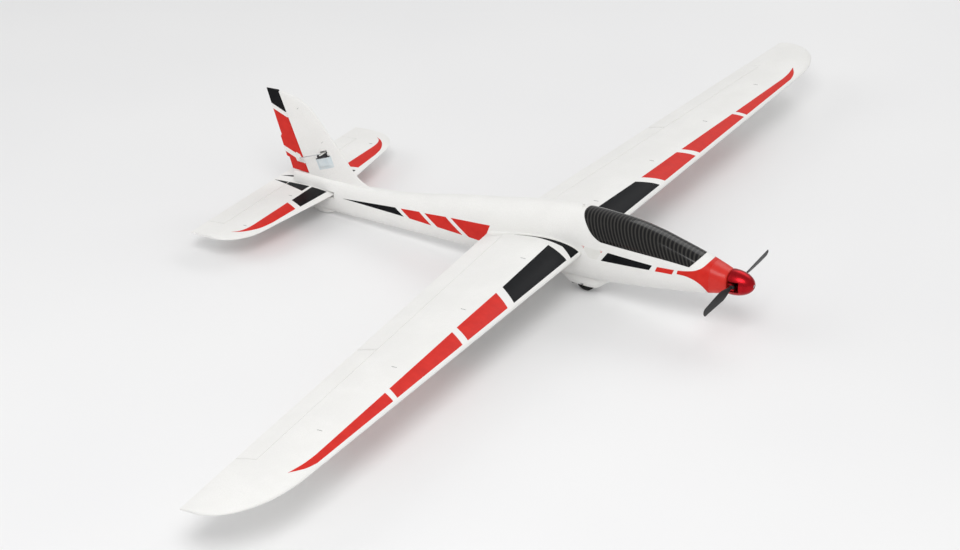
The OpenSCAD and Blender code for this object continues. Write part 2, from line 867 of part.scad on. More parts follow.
// Blade on the port side, pitched so that its leading edge meets the air as the shaft turns
module prop_blade(side) {
    tip = prop_d / 2;
    color(black) stand() translate([pin_x, 0, shaft_z]) rotate([side > 0 ? 0 : 180, 0, 0])
        difference() {
            union() {
                translate([0, blade_pin_y, -3.4]) cylinder(r = 4.6, h = 6.8);
                skin([for (k = [0 : 14])
                    let (t = k / 14, y = mix(blade_pin_y + 3.2, tip, t), c = blade_half_chord(t),
                        h = mix(2.6, 0.6, sqrt(t)), a = mix(62, 14, pow(t, 0.6)))
                    [for (b = [0 : 30 : 330])
                        let (u = c * cos(b), v = h * sin(b))
                        [v * cos(a) + blade_lean * u * sin(a), y,
                            u * cos(a) - v * sin(a) + 3 * t * t]]]);
            }
            translate([0, blade_pin_y, -5]) cylinder(r = 1.56, h = 10);
        }
}

module prop_blade_1() {
    prop_blade(1);
}

module prop_blade_2() {
    prop_blade(-1);
}

fuselage_shell_right();
fuselage_shell_left();
nose_cowl();
motor_mount();
motor_stator();
speed_controller();
battery_tray();
fuselage_magnets();
wing_root_plate_right();
wing_root_plate_left();
wing_sockets();
wheel_bracket();
wheel_axle();
spar_tube();
tailplane();
tailplane_screw();
rudder_servo();
elevator_servo();
canopy();
canopy_magnets();
rudder();
rudder_horn();
elevator();
elevator_horn();
rudder_arm();
rudder_rod();
elevator_arm();
elevator_rod();
wing_panel_right();
wing_panel_left();
wing_rib_right();
wing_rib_left();
wing_servos_right();
wing_servos_left();
aileron_right();
aileron_left();
flap_right();
flap_left();
aileron_horn_right();
aileron_horn_left();
flap_horn_right();
flap_horn_left();
aileron_arm_right();
aileron_arm_left();
flap_arm_right();
flap_arm_left();
aileron_rod_right();
aileron_rod_left();
flap_rod_right();
flap_rod_left();
motor_rotor();
prop_hub();
blade_pins();
spinner();
spinner_screw();
prop_blade_1();
prop_blade_2();
wheel_hub();
tyre();
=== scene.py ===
"""Looks of the radio-controlled sailplane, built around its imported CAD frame.

Every shape is made in the aircraft's own level frame in millimetres (x forward of the spar, y to
port, z above the wheel's lowest point), and LEVEL carries it into the frame that the CAD uses.
"""
import json
import math

import bmesh
import bpy
from mathutils import Matrix, Vector


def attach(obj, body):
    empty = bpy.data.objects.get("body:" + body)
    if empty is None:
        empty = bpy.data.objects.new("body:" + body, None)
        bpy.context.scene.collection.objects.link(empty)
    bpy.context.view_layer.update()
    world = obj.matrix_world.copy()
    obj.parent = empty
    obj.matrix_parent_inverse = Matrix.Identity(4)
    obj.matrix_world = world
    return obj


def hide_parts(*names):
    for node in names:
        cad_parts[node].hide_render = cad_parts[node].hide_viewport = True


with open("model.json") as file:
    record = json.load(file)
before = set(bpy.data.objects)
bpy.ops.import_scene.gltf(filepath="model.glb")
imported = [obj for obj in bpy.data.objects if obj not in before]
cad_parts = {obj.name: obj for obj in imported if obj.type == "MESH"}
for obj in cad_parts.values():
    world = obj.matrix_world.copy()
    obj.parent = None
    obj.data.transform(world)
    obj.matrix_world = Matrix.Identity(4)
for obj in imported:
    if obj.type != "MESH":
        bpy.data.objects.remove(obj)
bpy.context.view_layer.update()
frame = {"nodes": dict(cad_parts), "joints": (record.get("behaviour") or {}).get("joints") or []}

JOINTS = {joint["name"]: joint for joint in frame["joints"]}


# ---------------------------------------------------------------- the aircraft's level frame

WHEEL_X, WHEEL_R = 60.0, 20.0
LIFT = Vector(JOINTS["canopy_lift"]["axis"])
LEAN = math.atan2(-LIFT.x, LIFT.z)
LEVEL = (
    Matrix.Translation(Vector(JOINTS["wheel_roll"]["pos_m"]))
    @ Matrix.Rotation(-LEAN, 4, "Y")
    @ Matrix.Scale(0.001, 4)
    @ Matrix.Translation((-WHEEL_X, 0, -WHEEL_R))
)

# Fuselage stations from the tail: x, lowest z, highest z, half width
BODY = [
    (-598, 47, 103, 6), (-585, 43, 105, 9), (-560, 39, 106, 12), (-500, 36, 105, 16),
    (-408, 36, 104, 20), (-318, 36, 113, 24), (-206, 36, 134, 30), (-130, 36, 146, 35),
    (-18, 34, 165, 40), (67, 33, 171, 42), (116, 35, 170, 41), (165, 40, 166, 40),
    (214, 46, 156.5, 38), (250, 51, 146.5, 35.5), (288, 57, 135, 33), (320, 62.5, 124.5, 29.5),
    (340, 66.5, 117.5, 26), (352, 69.5, 113.2, 22.5), (356, 71.5, 111.5, 20),
]
# Fairing round the wheel: x, lowest z, half width
KEEL = [(-26, 34, 5), (8, 28, 11), (32, 14.5, 16), (60, 12, 17), (86, 13, 16.5), (104, 25, 13),
        (124, 36, 6)]
KEEL_TOP = 60
# Edge of the canopy in side view, from the rear top round the sill to the front tip
SILL = [(66, 172), (74, 162), (82, 153), (90, 144), (99, 136), (112, 129), (125, 127.5),
        (190, 124), (240, 120.5), (288, 115.5), (303, 131)]
# Fin leading edge: z, x
FIN = [(96, -402), (106, -422), (118, -443), (149, -469), (196, -506), (237, -539), (251, -555),
       (260, -572), (265.5, -590), (268, -606)]
# Rudder trailing edge with its moulded steps: z, x
TRAILING = [(107.5, -601), (130.4, -607.4), (131.8, -613.2), (171.7, -624.8), (176.5, -622.4),
            (200, -629.4), (269.5, -649.5)]
# Exponents of the fuselage's and the wheel fairing's cross-sections
SQUARENESS, KEEL_SQUARENESS = 2.4, 2 / 0.7
FOAM_WALL = 7
COWL_X, NOSE_X, SHAFT_Z, SPAR_Z = 326, 356, 91, 100.5
VENT_X = 210
AXLE_R = 1.5
# Canopy magnets on the port side, and their radius
MAGNETS = [(140, 34.5, 123.5), (236, 30.5, 117.5)]
MAGNET_R = 2.5

ROOT_Y = 43
PANEL = 1050 - ROOT_Y
ROOT_CHORD, TIP_CHORD, TIP_END, TIP_ROUND = 203, 122, 26, 160
WING_X, WING_Z, INCIDENCE, CAMBER = 75.5, 97, math.radians(2.1), 0.03
FLAP_CHORD = 40
# Fall of the chord per millimetre of span, and the sweep of the trailing edge
SWEEP_DROP = (ROOT_CHORD - TIP_CHORD) / PANEL
SWEEP = math.atan(SWEEP_DROP)
# Depth of the flap hinge below the upper skin
HINGE_BELOW = 1.4
# Start, end and link position outward from the root face, and lower bevel in degrees
SURFACES = {"flap": (6, 472, 123, 34), "aileron": (474, 850, 620, 30)}
HINGE_END = SURFACES["aileron"][1]
UPPER_BEVEL = 22
# From a wing hinge to its servo's shaft, and from the lower skin up to that shaft
LINK_LEN, SERVO_HEIGHT = 52, 6.4

TAIL_LE, TAIL_TE, TAIL_Z, TAIL_T, TAIL_HALF = -496, -644, 77, 12.6, 273.5
ELEVATOR_CHORD, ELEVATOR_HALF, ELEVATOR_BEVEL = 39, 220, 32
# Half height of the tailplane's slot in the fuselage; half width and depth of the notch in
# its front
TAIL_SLOT_HALF, SEAT_HALF, SEAT_STEP = 6.6, 9, 15
LEAN_BACK = math.radians(20.6)
RUDDER_X, RUDDER_Z, RUDDER_BEVEL = -560, 108.8, math.radians(34)

# Pins of the folding blades: x, and distance from the shaft
PIN_X, PIN_Y, BLADE_TIP = 367, 18, 127.5
# Share of a blade's length over which its stem widens to the full chord
BLADE_STEM = 0.4


def mix(a, b, t):
    return a + (b - a) * t


def power(v, e):
    return math.copysign(abs(v) ** e, v)


def spread(a, b, n):
    return [mix(a, b, i / n) for i in range(n + 1)]


def full_turn(n):
    return [2 * math.pi * i / n for i in range(n)]


def at(table, k, x):
    """Column k of a table at x, as a smooth cubic through its rows."""
    last = len(table) - 1
    i = max([0] + [j for j in range(last) if table[j][0] <= x])

    def slope(j):
        a, b = table[max(j - 1, 0)], table[min(j + 1, last)]
        return (b[k] - a[k]) / (b[0] - a[0])

    h = table[i + 1][0] - table[i][0]
    t = (x - table[i][0]) / h
    return (
        table[i][k] * (1 + 2 * t) * (1 - t) ** 2 + table[i + 1][k] * t * t * (3 - 2 * t)
        + h * (slope(i) * t * (1 - t) ** 2 - slope(i + 1) * t * t * (1 - t))
    )


def body_at(x, inset=0.0):
    lo, hi = at(BODY, 1, x) + inset, at(BODY, 2, x) - inset
    return (lo + hi) / 2, (hi - lo) / 2, at(BODY, 3, x) - inset


def keel_at(x):
    lo = at(KEEL, 1, x)
    return (lo + KEEL_TOP) / 2, (KEEL_TOP - lo) / 2, at(KEEL, 2, x)


def section(x, mid, tall, wide, exponent, n):
    """Superellipse across the fuselage."""
    e = 2 / exponent
    return [(x, wide * power(math.cos(a), e), mid + tall * power(math.sin(a), e))
            for a in full_turn(n)]


def section_side(x, z, side, mid, tall, wide, exponent):
    """Point of that superellipse at height z on one side."""
    t = min(0.999, abs(z - mid) / tall)
    return Vector((x, side * wide * (1 - t**exponent) ** (1 / exponent), z))


def body_ring(x, inset=0.0, n=88):
    return section(x, *body_at(x, inset), SQUARENESS, n)


def body_side(x, z, side):
    return section_side(x, z, side, *body_at(x), SQUARENESS)


def keel_ring(x):
    return section(x, *keel_at(x), KEEL_SQUARENESS, 40)


def keel_side(x, z, side):
    return section_side(x, z, side, *keel_at(x), KEEL_SQUARENESS)


def half_thickness(u, t):
    return 5 * t * (0.2969 * math.sqrt(u) - 0.126 * u - 0.3516 * u * u + 0.2843 * u**3
                    - 0.1036 * u**4)


def camber(u):
    return CAMBER * ((0.8 * u - u * u) / 0.16 if u < 0.4 else (0.2 + 0.8 * u - u * u) / 0.36)


def taper(s):
    return mix(ROOT_CHORD, TIP_CHORD, s / PANEL)


def chord(s):
    share = max(0.0, (s - PANEL + TIP_ROUND) / TIP_ROUND)
    return mix(TIP_END, taper(s), max(0.0, 1 - share**2.2) ** 0.5)


def te_x(s):
    return WING_X - taper(s)


def le_x(s):
    return te_x(s) + chord(s)


def chord_steps(front, length, n):
    """Stations from a leading edge back, closer together at both ends."""
    return [front - length * (1 - math.cos(math.pi * i / n)) / 2 for i in range(n + 1)]


def skin_z(s, x, up):
    """Height of the wing's upper (up=1) or lower (up=-1) skin at span position s and x."""
    c = chord(s)
    u = min(1.0, max(0.0, (le_x(s) - x) / c))
    t = mix(0.135, 0.112, s / PANEL)
    return (WING_Z - (WING_X - x) * math.sin(INCIDENCE) + c * camber(u)
            + up * (c * half_thickness(u, t) + 0.8 * u))


def wing_ring(s):
    xs = chord_steps(le_x(s), chord(s), 36)
    top = [(x, ROOT_Y + s, skin_z(s, x, 1)) for x in reversed(xs)]
    return top + [(x, ROOT_Y + s, skin_z(s, x, -1)) for x in xs[1:]]


def hinge_x(s):
    return te_x(s) + FLAP_CHORD


HINGE_Z0 = skin_z(0, hinge_x(0), 1) - HINGE_BELOW
HINGE_Z1 = skin_z(HINGE_END, hinge_x(HINGE_END), 1) - HINGE_BELOW
HINGE_RISE = math.atan((HINGE_Z1 - HINGE_Z0) / HINGE_END * math.cos(SWEEP))


def hinge_z(s):
    return mix(HINGE_Z0, HINGE_Z1, s / HINGE_END)


def hinge_frame(s):
    """Matrix of the wing hinge at s: z outboard along it, x forward, y down."""
    place = Matrix.Translation((hinge_x(s), ROOT_Y + s, hinge_z(s)))
    return (place @ Matrix.Rotation(-SWEEP, 4, "Z") @ Matrix.Rotation(HINGE_RISE, 4, "X")
            @ Matrix.Rotation(-math.pi / 2, 4, "X"))


def tail_le(y):
    r = max(0.0, (abs(y) - TAIL_HALF + 68) / 68)
    return mix(TAIL_TE + 57, TAIL_LE - 0.137 * abs(y), math.sqrt(max(0.0, 1 - min(1, r) ** 2.2)))


def tail_half(y, x):
    c = tail_le(y) - TAIL_TE
    u = min(1.0, max(0.0, (tail_le(y) - x) / c))
    return c * half_thickness(u, TAIL_T / (TAIL_LE - TAIL_TE)) + 0.7 * u


def tail_ring(y):
    le = tail_le(y)
    xs = chord_steps(le, le - TAIL_TE, 24)
    low = [(x, y, TAIL_Z - tail_half(y, x)) for x in xs]
    return low + [(x, y, TAIL_Z + tail_half(y, x)) for x in reversed(xs[1:])]


def fin_half(z):
    return mix(7, 4, (z - 100) / 168)


def rudder_axis(z):
    return RUDDER_X - (z - RUDDER_Z) * math.tan(LEAN_BACK)


def fin_edges(z):
    return at(FIN, 1, z), rudder_axis(z) + 0.6


def fin_shape(u, z):
    """Half thickness of the fin at share u of its chord."""
    return fin_half(z) * min(1, 1.25 * math.sqrt(u)) * (1 - 0.3 * u)


def fin_side(x, z):
    """Half thickness of the fin at x and z."""
    le, te = fin_edges(z)
    return fin_shape(min(1.0, max(0.001, (le - x) / (le - te))), z)


def fin_ring(z, n=20):
    le, te = fin_edges(z)
    us = [(i / n) ** 1.8 for i in range(n + 1)]
    side = [(mix(le, te, u), fin_shape(u, z), z) for u in us]
    return side + [(x, -y, z) for x, y, z in reversed(side[1:])]


def rudder_te(z):
    i = max(j for j in range(len(TRAILING) - 1) if TRAILING[j][0] <= z + 1e-9)
    (z0, x0), (z1, x1) = TRAILING[i], TRAILING[i + 1]
    return mix(x0, x1, (z - z0) / (z1 - z0))


def rudder_nose(z):
    """The rudder's hinge axis, the x where its full thickness begins, and half of that."""
    h = 0.7 * fin_half(z)
    return rudder_axis(z), rudder_axis(z) - h * math.tan(RUDDER_BEVEL), h


def rudder_half(x, z):
    """Half thickness of the rudder at x and z."""
    axis, front, h = rudder_nose(z)
    if x > front:
        return max(0.0, h * (axis - x) / (axis - front))
    return mix(h, 1.0, min(1.0, (front - x) / (front - rudder_te(z))))


# ---------------------------------------------------------------- meshes

def finish_mesh(obj, angle=32):
    mesh = obj.data
    mesh.shade_smooth()
    mesh.set_sharp_from_angle(angle=math.radians(angle))
    return obj


def new_object(name, data):
    obj = bpy.data.objects.new(name, data)
    bpy.context.scene.collection.objects.link(obj)
    return obj


def add(name, verts, faces, place=LEVEL):
    mesh = bpy.data.meshes.new(name)
    mesh.from_pydata([tuple(place @ Vector(v)) for v in verts], [], faces)
    obj = new_object(name, mesh)
    recalc(obj)
    return obj


def recalc(obj):
    bm = bmesh.new()
    bm.from_mesh(obj.data)
    bmesh.ops.recalc_face_normals(bm, faces=bm.faces)
    bm.to_mesh(obj.data)
    bm.free()


def slice_mesh(bm, co, no, dist, **more):
    """Cuts all of a mesh along a plane."""
    geom = bm.verts[:] + bm.edges[:] + bm.faces[:]
    return bmesh.ops.bisect_plane(bm, geom=geom, plane_co=co, plane_no=no, dist=dist, **more)


def loft(name, rings, place=LEVEL):
    """Closed solid through rings with the same number of points."""
    n = len(rings[0])
    faces = [(i * n + j, i * n + (j + 1) % n, (i + 1) * n + (j + 1) % n, (i + 1) * n + j)
             for i in range(len(rings) - 1) for j in range(n)]
    faces += [tuple(range(n)), tuple(range((len(rings) - 1) * n, len(rings) * n))]
    return add(name, [v for ring in rings for v in ring], faces, place)


def prism(name, outline, low, high, place=LEVEL):
    """Extrusion of a 2D outline from low to high along z of the given frame."""
    n = len(outline)
    verts = [(x, y, z) for z in (low, high) for x, y in outline]
    faces = [tuple(range(n)), tuple(range(n, 2 * n))]
    faces += [(j, (j + 1) % n, n + (j + 1) % n, n + j) for j in range(n)]
    return add(name, verts, faces, place)


def block(name, low, high, place=LEVEL):
    (x0, y0, z0), (x1, y1, z1) = low, high
    return prism(name, [(x0, y0), (x1, y0), (x1, y1), (x0, y1)], z0, z1, place)


SIDE_VIEW = LEVEL @ Matrix.Rotation(math.pi / 2, 4, "X")  # x forward, y up, z to starboard


def side_prism(name, outline, low, high):
    """Extrusion along Y from low to high of an outline in x and z."""
    return prism(name, outline, -high, -low, SIDE_VIEW)


def circle(r, n=48, x=0.0, y=0.0):
    return [(x + r * math.cos(a), y + r * math.sin(a)) for a in full_turn(n)]


def lathe(name, profile, place, n=64):
    """Turned solid: profile points are radius and height along z of the given frame."""
    rings = [[(x, y, h) for x, y in circle(r, n)] for r, h in profile]
    return loft(name, rings, place)


def lathe_ring(name, profile, place, n=64):
    """Turned ring: a closed profile that stays clear of the axis."""
    m = len(profile)
    verts, faces = [], []
    for i, a in enumerate(full_turn(n)):
        verts += [(r * math.cos(a), r * math.sin(a), h) for r, h in profile]
        for j in range(m):
            k, here, after = (j + 1) % m, i * m, (i + 1) % n * m
            faces.append((here + j, here + k, after + k, after + j))
    return add(name, verts, faces, place)


def drop(*objs):
    for obj in objs:
        mesh = obj.data
        bpy.data.objects.remove(obj)
        bpy.data.meshes.remove(mesh)


def apply_modifiers(obj):
    graph = bpy.context.evaluated_depsgraph_get()
    graph.update()
    mesh = bpy.data.meshes.new_from_object(obj.evaluated_get(graph))
    old = obj.data
    obj.modifiers.clear()
    obj.data = mesh
    bpy.data.meshes.remove(old)


def combine(target, operation, *cutters):
    """Boolean with all the cutters at once; the cutters are used up."""
    group = bpy.data.collections.new("cutters")
    for cutter in cutters:
        group.objects.link(cutter)
    mod = target.modifiers.new("cut", "BOOLEAN")
    mod.operation, mod.solver = operation, "EXACT"
    mod.operand_type, mod.collection = "COLLECTION", group
    apply_modifiers(target)
    drop(*cutters)
    bpy.data.collections.remove(group)


def copy_of(obj, name):
    new = obj.copy()
    new.data = obj.data.copy()
    new.name = name
    bpy.context.scene.collection.objects.link(new)
    return new


def round_edges(obj, width, segments=3, angle=40):
    mod = obj.modifiers.new("round", "BEVEL")
    mod.width, mod.segments = width / 1000, segments
    mod.limit_method, mod.angle_limit = "ANGLE", math.radians(angle)
    mod.harden_normals = False
    apply_modifiers(obj)


# How far films and horn bases stand above the skin
FILM_LIFT, BASE_LIFT = 0.16, 0.9


def film(name, shapes, surface, out, cell=5.0, lift=FILM_LIFT, sink=0.35):
    """Thin sheet on a surface: shapes are outlines in the surface's own two coordinates,
    surface(u, v) gives the level point there, and out is roughly the way that the sheet faces."""
    bm = bmesh.new()
    for shape in shapes:
        bm.faces.new([bm.verts.new((u, v, 0)) for u, v in shape])
    bmesh.ops.triangulate(bm, faces=bm.faces)
    for axis in (0, 1):
        values = [v.co[axis] for v in bm.verts]
        normal = Vector((1 - axis, axis, 0))
        for k in range(math.ceil(min(values) / cell), math.floor(max(values) / cell) + 1):
            slice_mesh(bm, normal * (k * cell), normal, 1e-5)
    bmesh.ops.remove_doubles(bm, verts=bm.verts, dist=1e-3)
    bmesh.ops.triangulate(bm, faces=bm.faces)
    bm.verts.index_update()
    step = 0.2
    top, low = [], []
    for v in bm.verts:
        u, w = v.co.x, v.co.y
        across = Vector(surface(u + step, w)) - Vector(surface(u - step, w))
        along = Vector(surface(u, w + step)) - Vector(surface(u, w - step))
        normal = across.cross(along).normalized()
        normal *= math.copysign(1, normal.dot(Vector(out)))
        top.append(Vector(surface(u, w)) + normal * lift)
        low.append(Vector(surface(u, w)) - normal * sink)
    faces = [tuple(v.index for v in f.verts) for f in bm.faces]
    rim = [tuple(v.index for v in e.verts) for e in bm.edges if len(e.link_faces) == 1]
    bm.free()
    n = len(top)
    under = [tuple(i + n for i in reversed(f)) for f in faces]
    obj = add(name, top + low, faces + under + [(a, b, b + n, a + n) for a, b in rim])
    return finish_mesh(obj, 40)


def join(name, objs):
    """One object from several."""
    bm = bmesh.new()
    for obj in objs:
        bm.from_mesh(obj.data)
    mesh = bpy.data.meshes.new(name)
    bm.to_mesh(mesh)
    bm.free()
    drop(*objs)
    return new_object(name, mesh)


# ---------------------------------------------------------------- materials

def new_material(name, color, rough, metal=0.0):
    mat = bpy.data.materials.new(name)
    mat.use_nodes = True
    shader = mat.node_tree.nodes["Principled BSDF"]
    shader.inputs["Base Color"].default_value = (*color, 1)
    shader.inputs["Roughness"].default_value = rough
    shader.inputs["Metallic"].default_value = metal
    return mat, mat.node_tree, shader


def node(tree, kind, **values):
    made = tree.nodes.new(kind)
    for key, value in values.items():
        if key in made.inputs:
            made.inputs[key].default_value = value
        else:
            setattr(made, key, value)
    return made


def ramp(tree, source, low, high, start=0.0, end=1.0):
    """Colour or value between low and high as source goes from start to end."""
    made = tree.nodes.new("ShaderNodeMapRange")
    made.inputs["From Min"].default_value = start
    made.inputs["From Max"].default_value = end
    made.inputs["To Min"].default_value = low
    made.inputs["To Max"].default_value = high
    tree.links.new(source, made.inputs["Value"])
    return made.outputs["Result"]


def mottle(tree, shader, low, high, source, start=0.3, end=0.7):
    """Base colour that wanders between two colours with source."""
    made = node(tree, "ShaderNodeMix", data_type="RGBA")
    made.inputs[6].default_value = (*low, 1)
    made.inputs[7].default_value = (*high, 1)
    tree.links.new(ramp(tree, source, 0, 1, start, end), made.inputs[0])
    tree.links.new(made.outputs[2], shader.inputs["Base Color"])


def place_of(tree, scale=(1, 1, 1)):
    coords = tree.nodes.new("ShaderNodeTexCoord")
    mapping = tree.nodes.new("ShaderNodeMapping")
    mapping.inputs["Scale"].default_value = scale
    tree.links.new(coords.outputs["Object"], mapping.inputs["Vector"])
    return mapping.outputs["Vector"]


def noise(tree, place, scale, detail=3.0, rough=0.55):
    made = node(tree, "ShaderNodeTexNoise", Scale=scale, Detail=detail, Roughness=rough)
    tree.links.new(place, made.inputs["Vector"])
    return made.outputs["Fac"]


def bump(tree, shader, height, strength, distance):
    made = node(tree, "ShaderNodeBump", Strength=strength, Distance=distance)
    tree.links.new(height, made.inputs["Height"])
    before = shader.inputs["Normal"].links
    if before:
        tree.links.new(before[0].from_socket, made.inputs["Normal"])
    tree.links.new(made.outputs["Normal"], shader.inputs["Normal"])


def foam_material():
    """Moulded bead foam: flattened beads with faint seams, clearer in some patches."""
    mat, tree, shader = new_material("foam", (0.86, 0.855, 0.835), 0.5)
    place = place_of(tree)
    beads = node(tree, "ShaderNodeTexVoronoi", feature="DISTANCE_TO_EDGE", Scale=250.0)
    tree.links.new(place, beads.inputs["Vector"])
    seam = ramp(tree, beads.outputs["Distance"], 0, 1, 0.0, 0.12)
    patches = noise(tree, place, 14.0, 4.0)
    speckle = noise(tree, place, 700.0, 2.0)
    tone = node(tree, "ShaderNodeMath", operation="MULTIPLY_ADD")
    tree.links.new(seam, tone.inputs[0])
    tree.links.new(ramp(tree, patches, 0.03, 0.30, 0.42, 0.62), tone.inputs[1])
    tree.links.new(ramp(tree, speckle, 0.70, 0.30, 0.3, 0.7), tone.inputs[2])
    mottle(tree, shader, (0.78, 0.775, 0.755), (0.90, 0.895, 0.875), tone.outputs[0], 0.0, 1.0)
    tree.links.new(ramp(tree, patches, 0.46, 0.56), shader.inputs["Roughness"])
    bump(tree, shader, seam, 0.16, 0.0003)
    bump(tree, shader, speckle, 0.10, 0.0002)
    shader.inputs["Specular IOR Level"].default_value = 0.35
    shader.inputs["Subsurface Weight"].default_value = 0.05
    shader.inputs["Subsurface Radius"].default_value = (0.004, 0.004, 0.0035)
    return mat


def film_material(name, dark, light, rough, gloss=0.16):
    """Printed film over bead foam: the beads show through as faint dimples."""
    mat, tree, shader = new_material(name, light, rough)
    place = place_of(tree)
    beads = node(tree, "ShaderNodeTexVoronoi", feature="SMOOTH_F1", Scale=230.0)
    tree.links.new(place, beads.inputs["Vector"])
    soft = noise(tree, place, 60.0)
    mottle(tree, shader, dark, light, soft)
    tree.links.new(ramp(tree, soft, rough - 0.06, rough + 0.08), shader.inputs["Roughness"])
    bump(tree, shader, beads.outputs["Distance"], 0.12, 0.0004)
    shader.inputs["Specular IOR Level"].default_value = gloss
    return mat


def canopy_material():
    """Glossy film printed with a bold carbon twill: leaning bands crossed by fine fibres."""
    mat, tree, shader = new_material("canopy_film", (0.02, 0.02, 0.022), 0.2)
    coords = tree.nodes.new("ShaderNodeTexCoord")
    leaning = node(tree, "ShaderNodeVectorRotate", rotation_type="Y_AXIS",
                   Angle=math.radians(32))
    tree.links.new(coords.outputs["Object"], leaning.inputs["Vector"])
    bands = node(tree, "ShaderNodeTexWave", bands_direction="X", Scale=54.0, Distortion=0.15)
    bands.inputs["Detail Scale"].default_value = 2.0
    tree.links.new(leaning.outputs["Vector"], bands.inputs["Vector"])
    fibres = node(tree, "ShaderNodeTexWave", bands_direction="Z", Scale=330.0, Distortion=0.6)
    tree.links.new(leaning.outputs["Vector"], fibres.inputs["Vector"])
    blend = node(tree, "ShaderNodeMath", operation="MULTIPLY")
    tree.links.new(ramp(tree, bands.outputs["Fac"], 0, 1, 0.42, 0.92), blend.inputs[0])
    tree.links.new(ramp(tree, fibres.outputs["Fac"], 0.72, 1.0), blend.inputs[1])
    mottle(tree, shader, (0.004, 0.004, 0.0045), (0.046, 0.044, 0.040), blend.outputs[0], 0, 1)
    bump(tree, shader, blend.outputs[0], 0.05, 0.0002)
    shader.inputs["Specular IOR Level"].default_value = 0.10
    shader.inputs["Coat Weight"].default_value = 0.32
    shader.inputs["Coat Roughness"].default_value = 0.05
    return mat


def plastic_material(name, dark, light, rough, grain=900.0, strength=0.10, coat=0.0):
    mat, tree, shader = new_material(name, light, rough)
    place = place_of(tree)
    fine = noise(tree, place, grain, 2.0)
    broad = noise(tree, place, 35.0, 3.0)
    mottle(tree, shader, dark, light, broad)
    tree.links.new(ramp(tree, broad, rough - 0.07, rough + 0.07, 0.3, 0.7),
                   shader.inputs["Roughness"])
    bump(tree, shader, fine, strength, 0.0002)
    shader.inputs["Specular IOR Level"].default_value = 0.28
    shader.inputs["Coat Weight"].default_value = coat
    shader.inputs["Coat Roughness"].default_value = 0.15
    return mat


def metal_material(name, dark, light, rough, stretch=(1, 1, 1)):
    mat, tree, shader = new_material(name, light, rough, 1.0)
    place = place_of(tree, stretch)
    brushed = noise(tree, place, 700.0, 3.0)
    broad = noise(tree, place_of(tree), 60.0, 3.0)
    mottle(tree, shader, dark, light, broad)
    tree.links.new(ramp(tree, brushed, rough - 0.08, rough + 0.1, 0.3, 0.7),
                   shader.inputs["Roughness"])
    bump(tree, shader, brushed, 0.08, 0.0002)
    return mat


def carbon_material():
    """Pultruded carbon tube: fine fibres along the span."""
    mat, tree, shader = new_material("carbon_tube", (0.02, 0.02, 0.022), 0.35)
    fibres = noise(tree, place_of(tree, (1, 0.03, 1)), 900.0, 3.0)
    mottle(tree, shader, (0.012, 0.012, 0.013), (0.045, 0.045, 0.05), fibres)
    bump(tree, shader, fibres, 0.2, 0.0002)
    shader.inputs["Coat Weight"].default_value = 0.3
    return mat


def wood_material():
    mat, tree, shader = new_material("plywood", (0.55, 0.4, 0.25), 0.6)
    grain = noise(tree, place_of(tree, (0.12, 1.6, 1.6)), 180.0, 5.0)
    mottle(tree, shader, (0.42, 0.28, 0.15), (0.66, 0.50, 0.32), grain)
    bump(tree, shader, grain, 0.2, 0.0003)
    return mat


def floor_material():
    mat, tree, shader = new_material("floor", (0.86, 0.86, 0.86), 0.7)
    broad = noise(tree, place_of(tree), 1.2, 2.0)
    mottle(tree, shader, (0.85, 0.85, 0.855), (0.88, 0.88, 0.88), broad)
    return mat


FOAM = foam_material()
RED_FILM = film_material("red_film", (0.60, 0.018, 0.012), (0.68, 0.026, 0.017), 0.42)
BLACK_FILM = film_material("black_film", (0.003, 0.0035, 0.0045), (0.006, 0.0065, 0.008), 0.36,
                           gloss=0.08)
TAPE = film_material("clear_tape", (0.62, 0.70, 0.74), (0.74, 0.79, 0.80), 0.2)
# Dark grey film laid over the slits in the foam: painted shade that stands in for the shadow inside
# each slit
SLIT_SHADE = film_material("painted_slit_shade", (0.16, 0.16, 0.16), (0.22, 0.22, 0.22), 0.5)
CANOPY = canopy_material()
RED_PLASTIC = plastic_material("red_plastic", (0.60, 0.018, 0.012), (0.70, 0.028, 0.018), 0.38,
                               coat=0.12)
WHITE_PLASTIC = plastic_material("white_plastic", (0.76, 0.755, 0.72), (0.84, 0.835, 0.81), 0.42)
BLACK_PLASTIC = plastic_material("black_plastic", (0.012, 0.012, 0.013), (0.026, 0.026, 0.028), 0.42,
                                 grain=1400.0, strength=0.2)
SERVO_PLASTIC = plastic_material("servo_plastic", (0.014, 0.014, 0.016), (0.03, 0.03, 0.034), 0.36)
RUBBER = plastic_material("rubber", (0.010, 0.010, 0.010), (0.022, 0.022, 0.022), 0.78,
                          grain=600.0, strength=0.35)
BOARD = plastic_material("circuit_board", (0.01, 0.16, 0.08), (0.03, 0.28, 0.15), 0.35)
SHRINK = plastic_material("heat_shrink", (0.02, 0.05, 0.22), (0.04, 0.09, 0.32), 0.25, coat=0.6)
ANODISED = metal_material("red_anodised", (0.34, 0.008, 0.014), (0.50, 0.014, 0.020), 0.30)
STEEL = metal_material("steel", (0.50, 0.51, 0.53), (0.66, 0.67, 0.69), 0.28, (1, 8, 8))
MOTOR = metal_material("motor_bell", (0.05, 0.05, 0.055), (0.10, 0.10, 0.11), 0.38)
ALUMINIUM = metal_material("aluminium", (0.42, 0.42, 0.44), (0.58, 0.58, 0.6), 0.4)
LABEL = plastic_material("servo_label", (0.10, 0.10, 0.11), (0.16, 0.16, 0.17), 0.3)
CARBON = carbon_material()
WOOD = wood_material()

FILMS = {"red": RED_FILM, "black": BLACK_FILM, "white": WHITE_PLASTIC}


def dress(obj, *mats):
    """Gives a mesh its materials and keeps the slot that each face has."""
    slots = [min(f.material_index, len(mats) - 1) for f in obj.data.polygons]
    obj.data.materials.clear()
    for mat in mats:
        obj.data.materials.append(mat)
    obj.data.polygons.foreach_set("material_index", slots)
    return obj


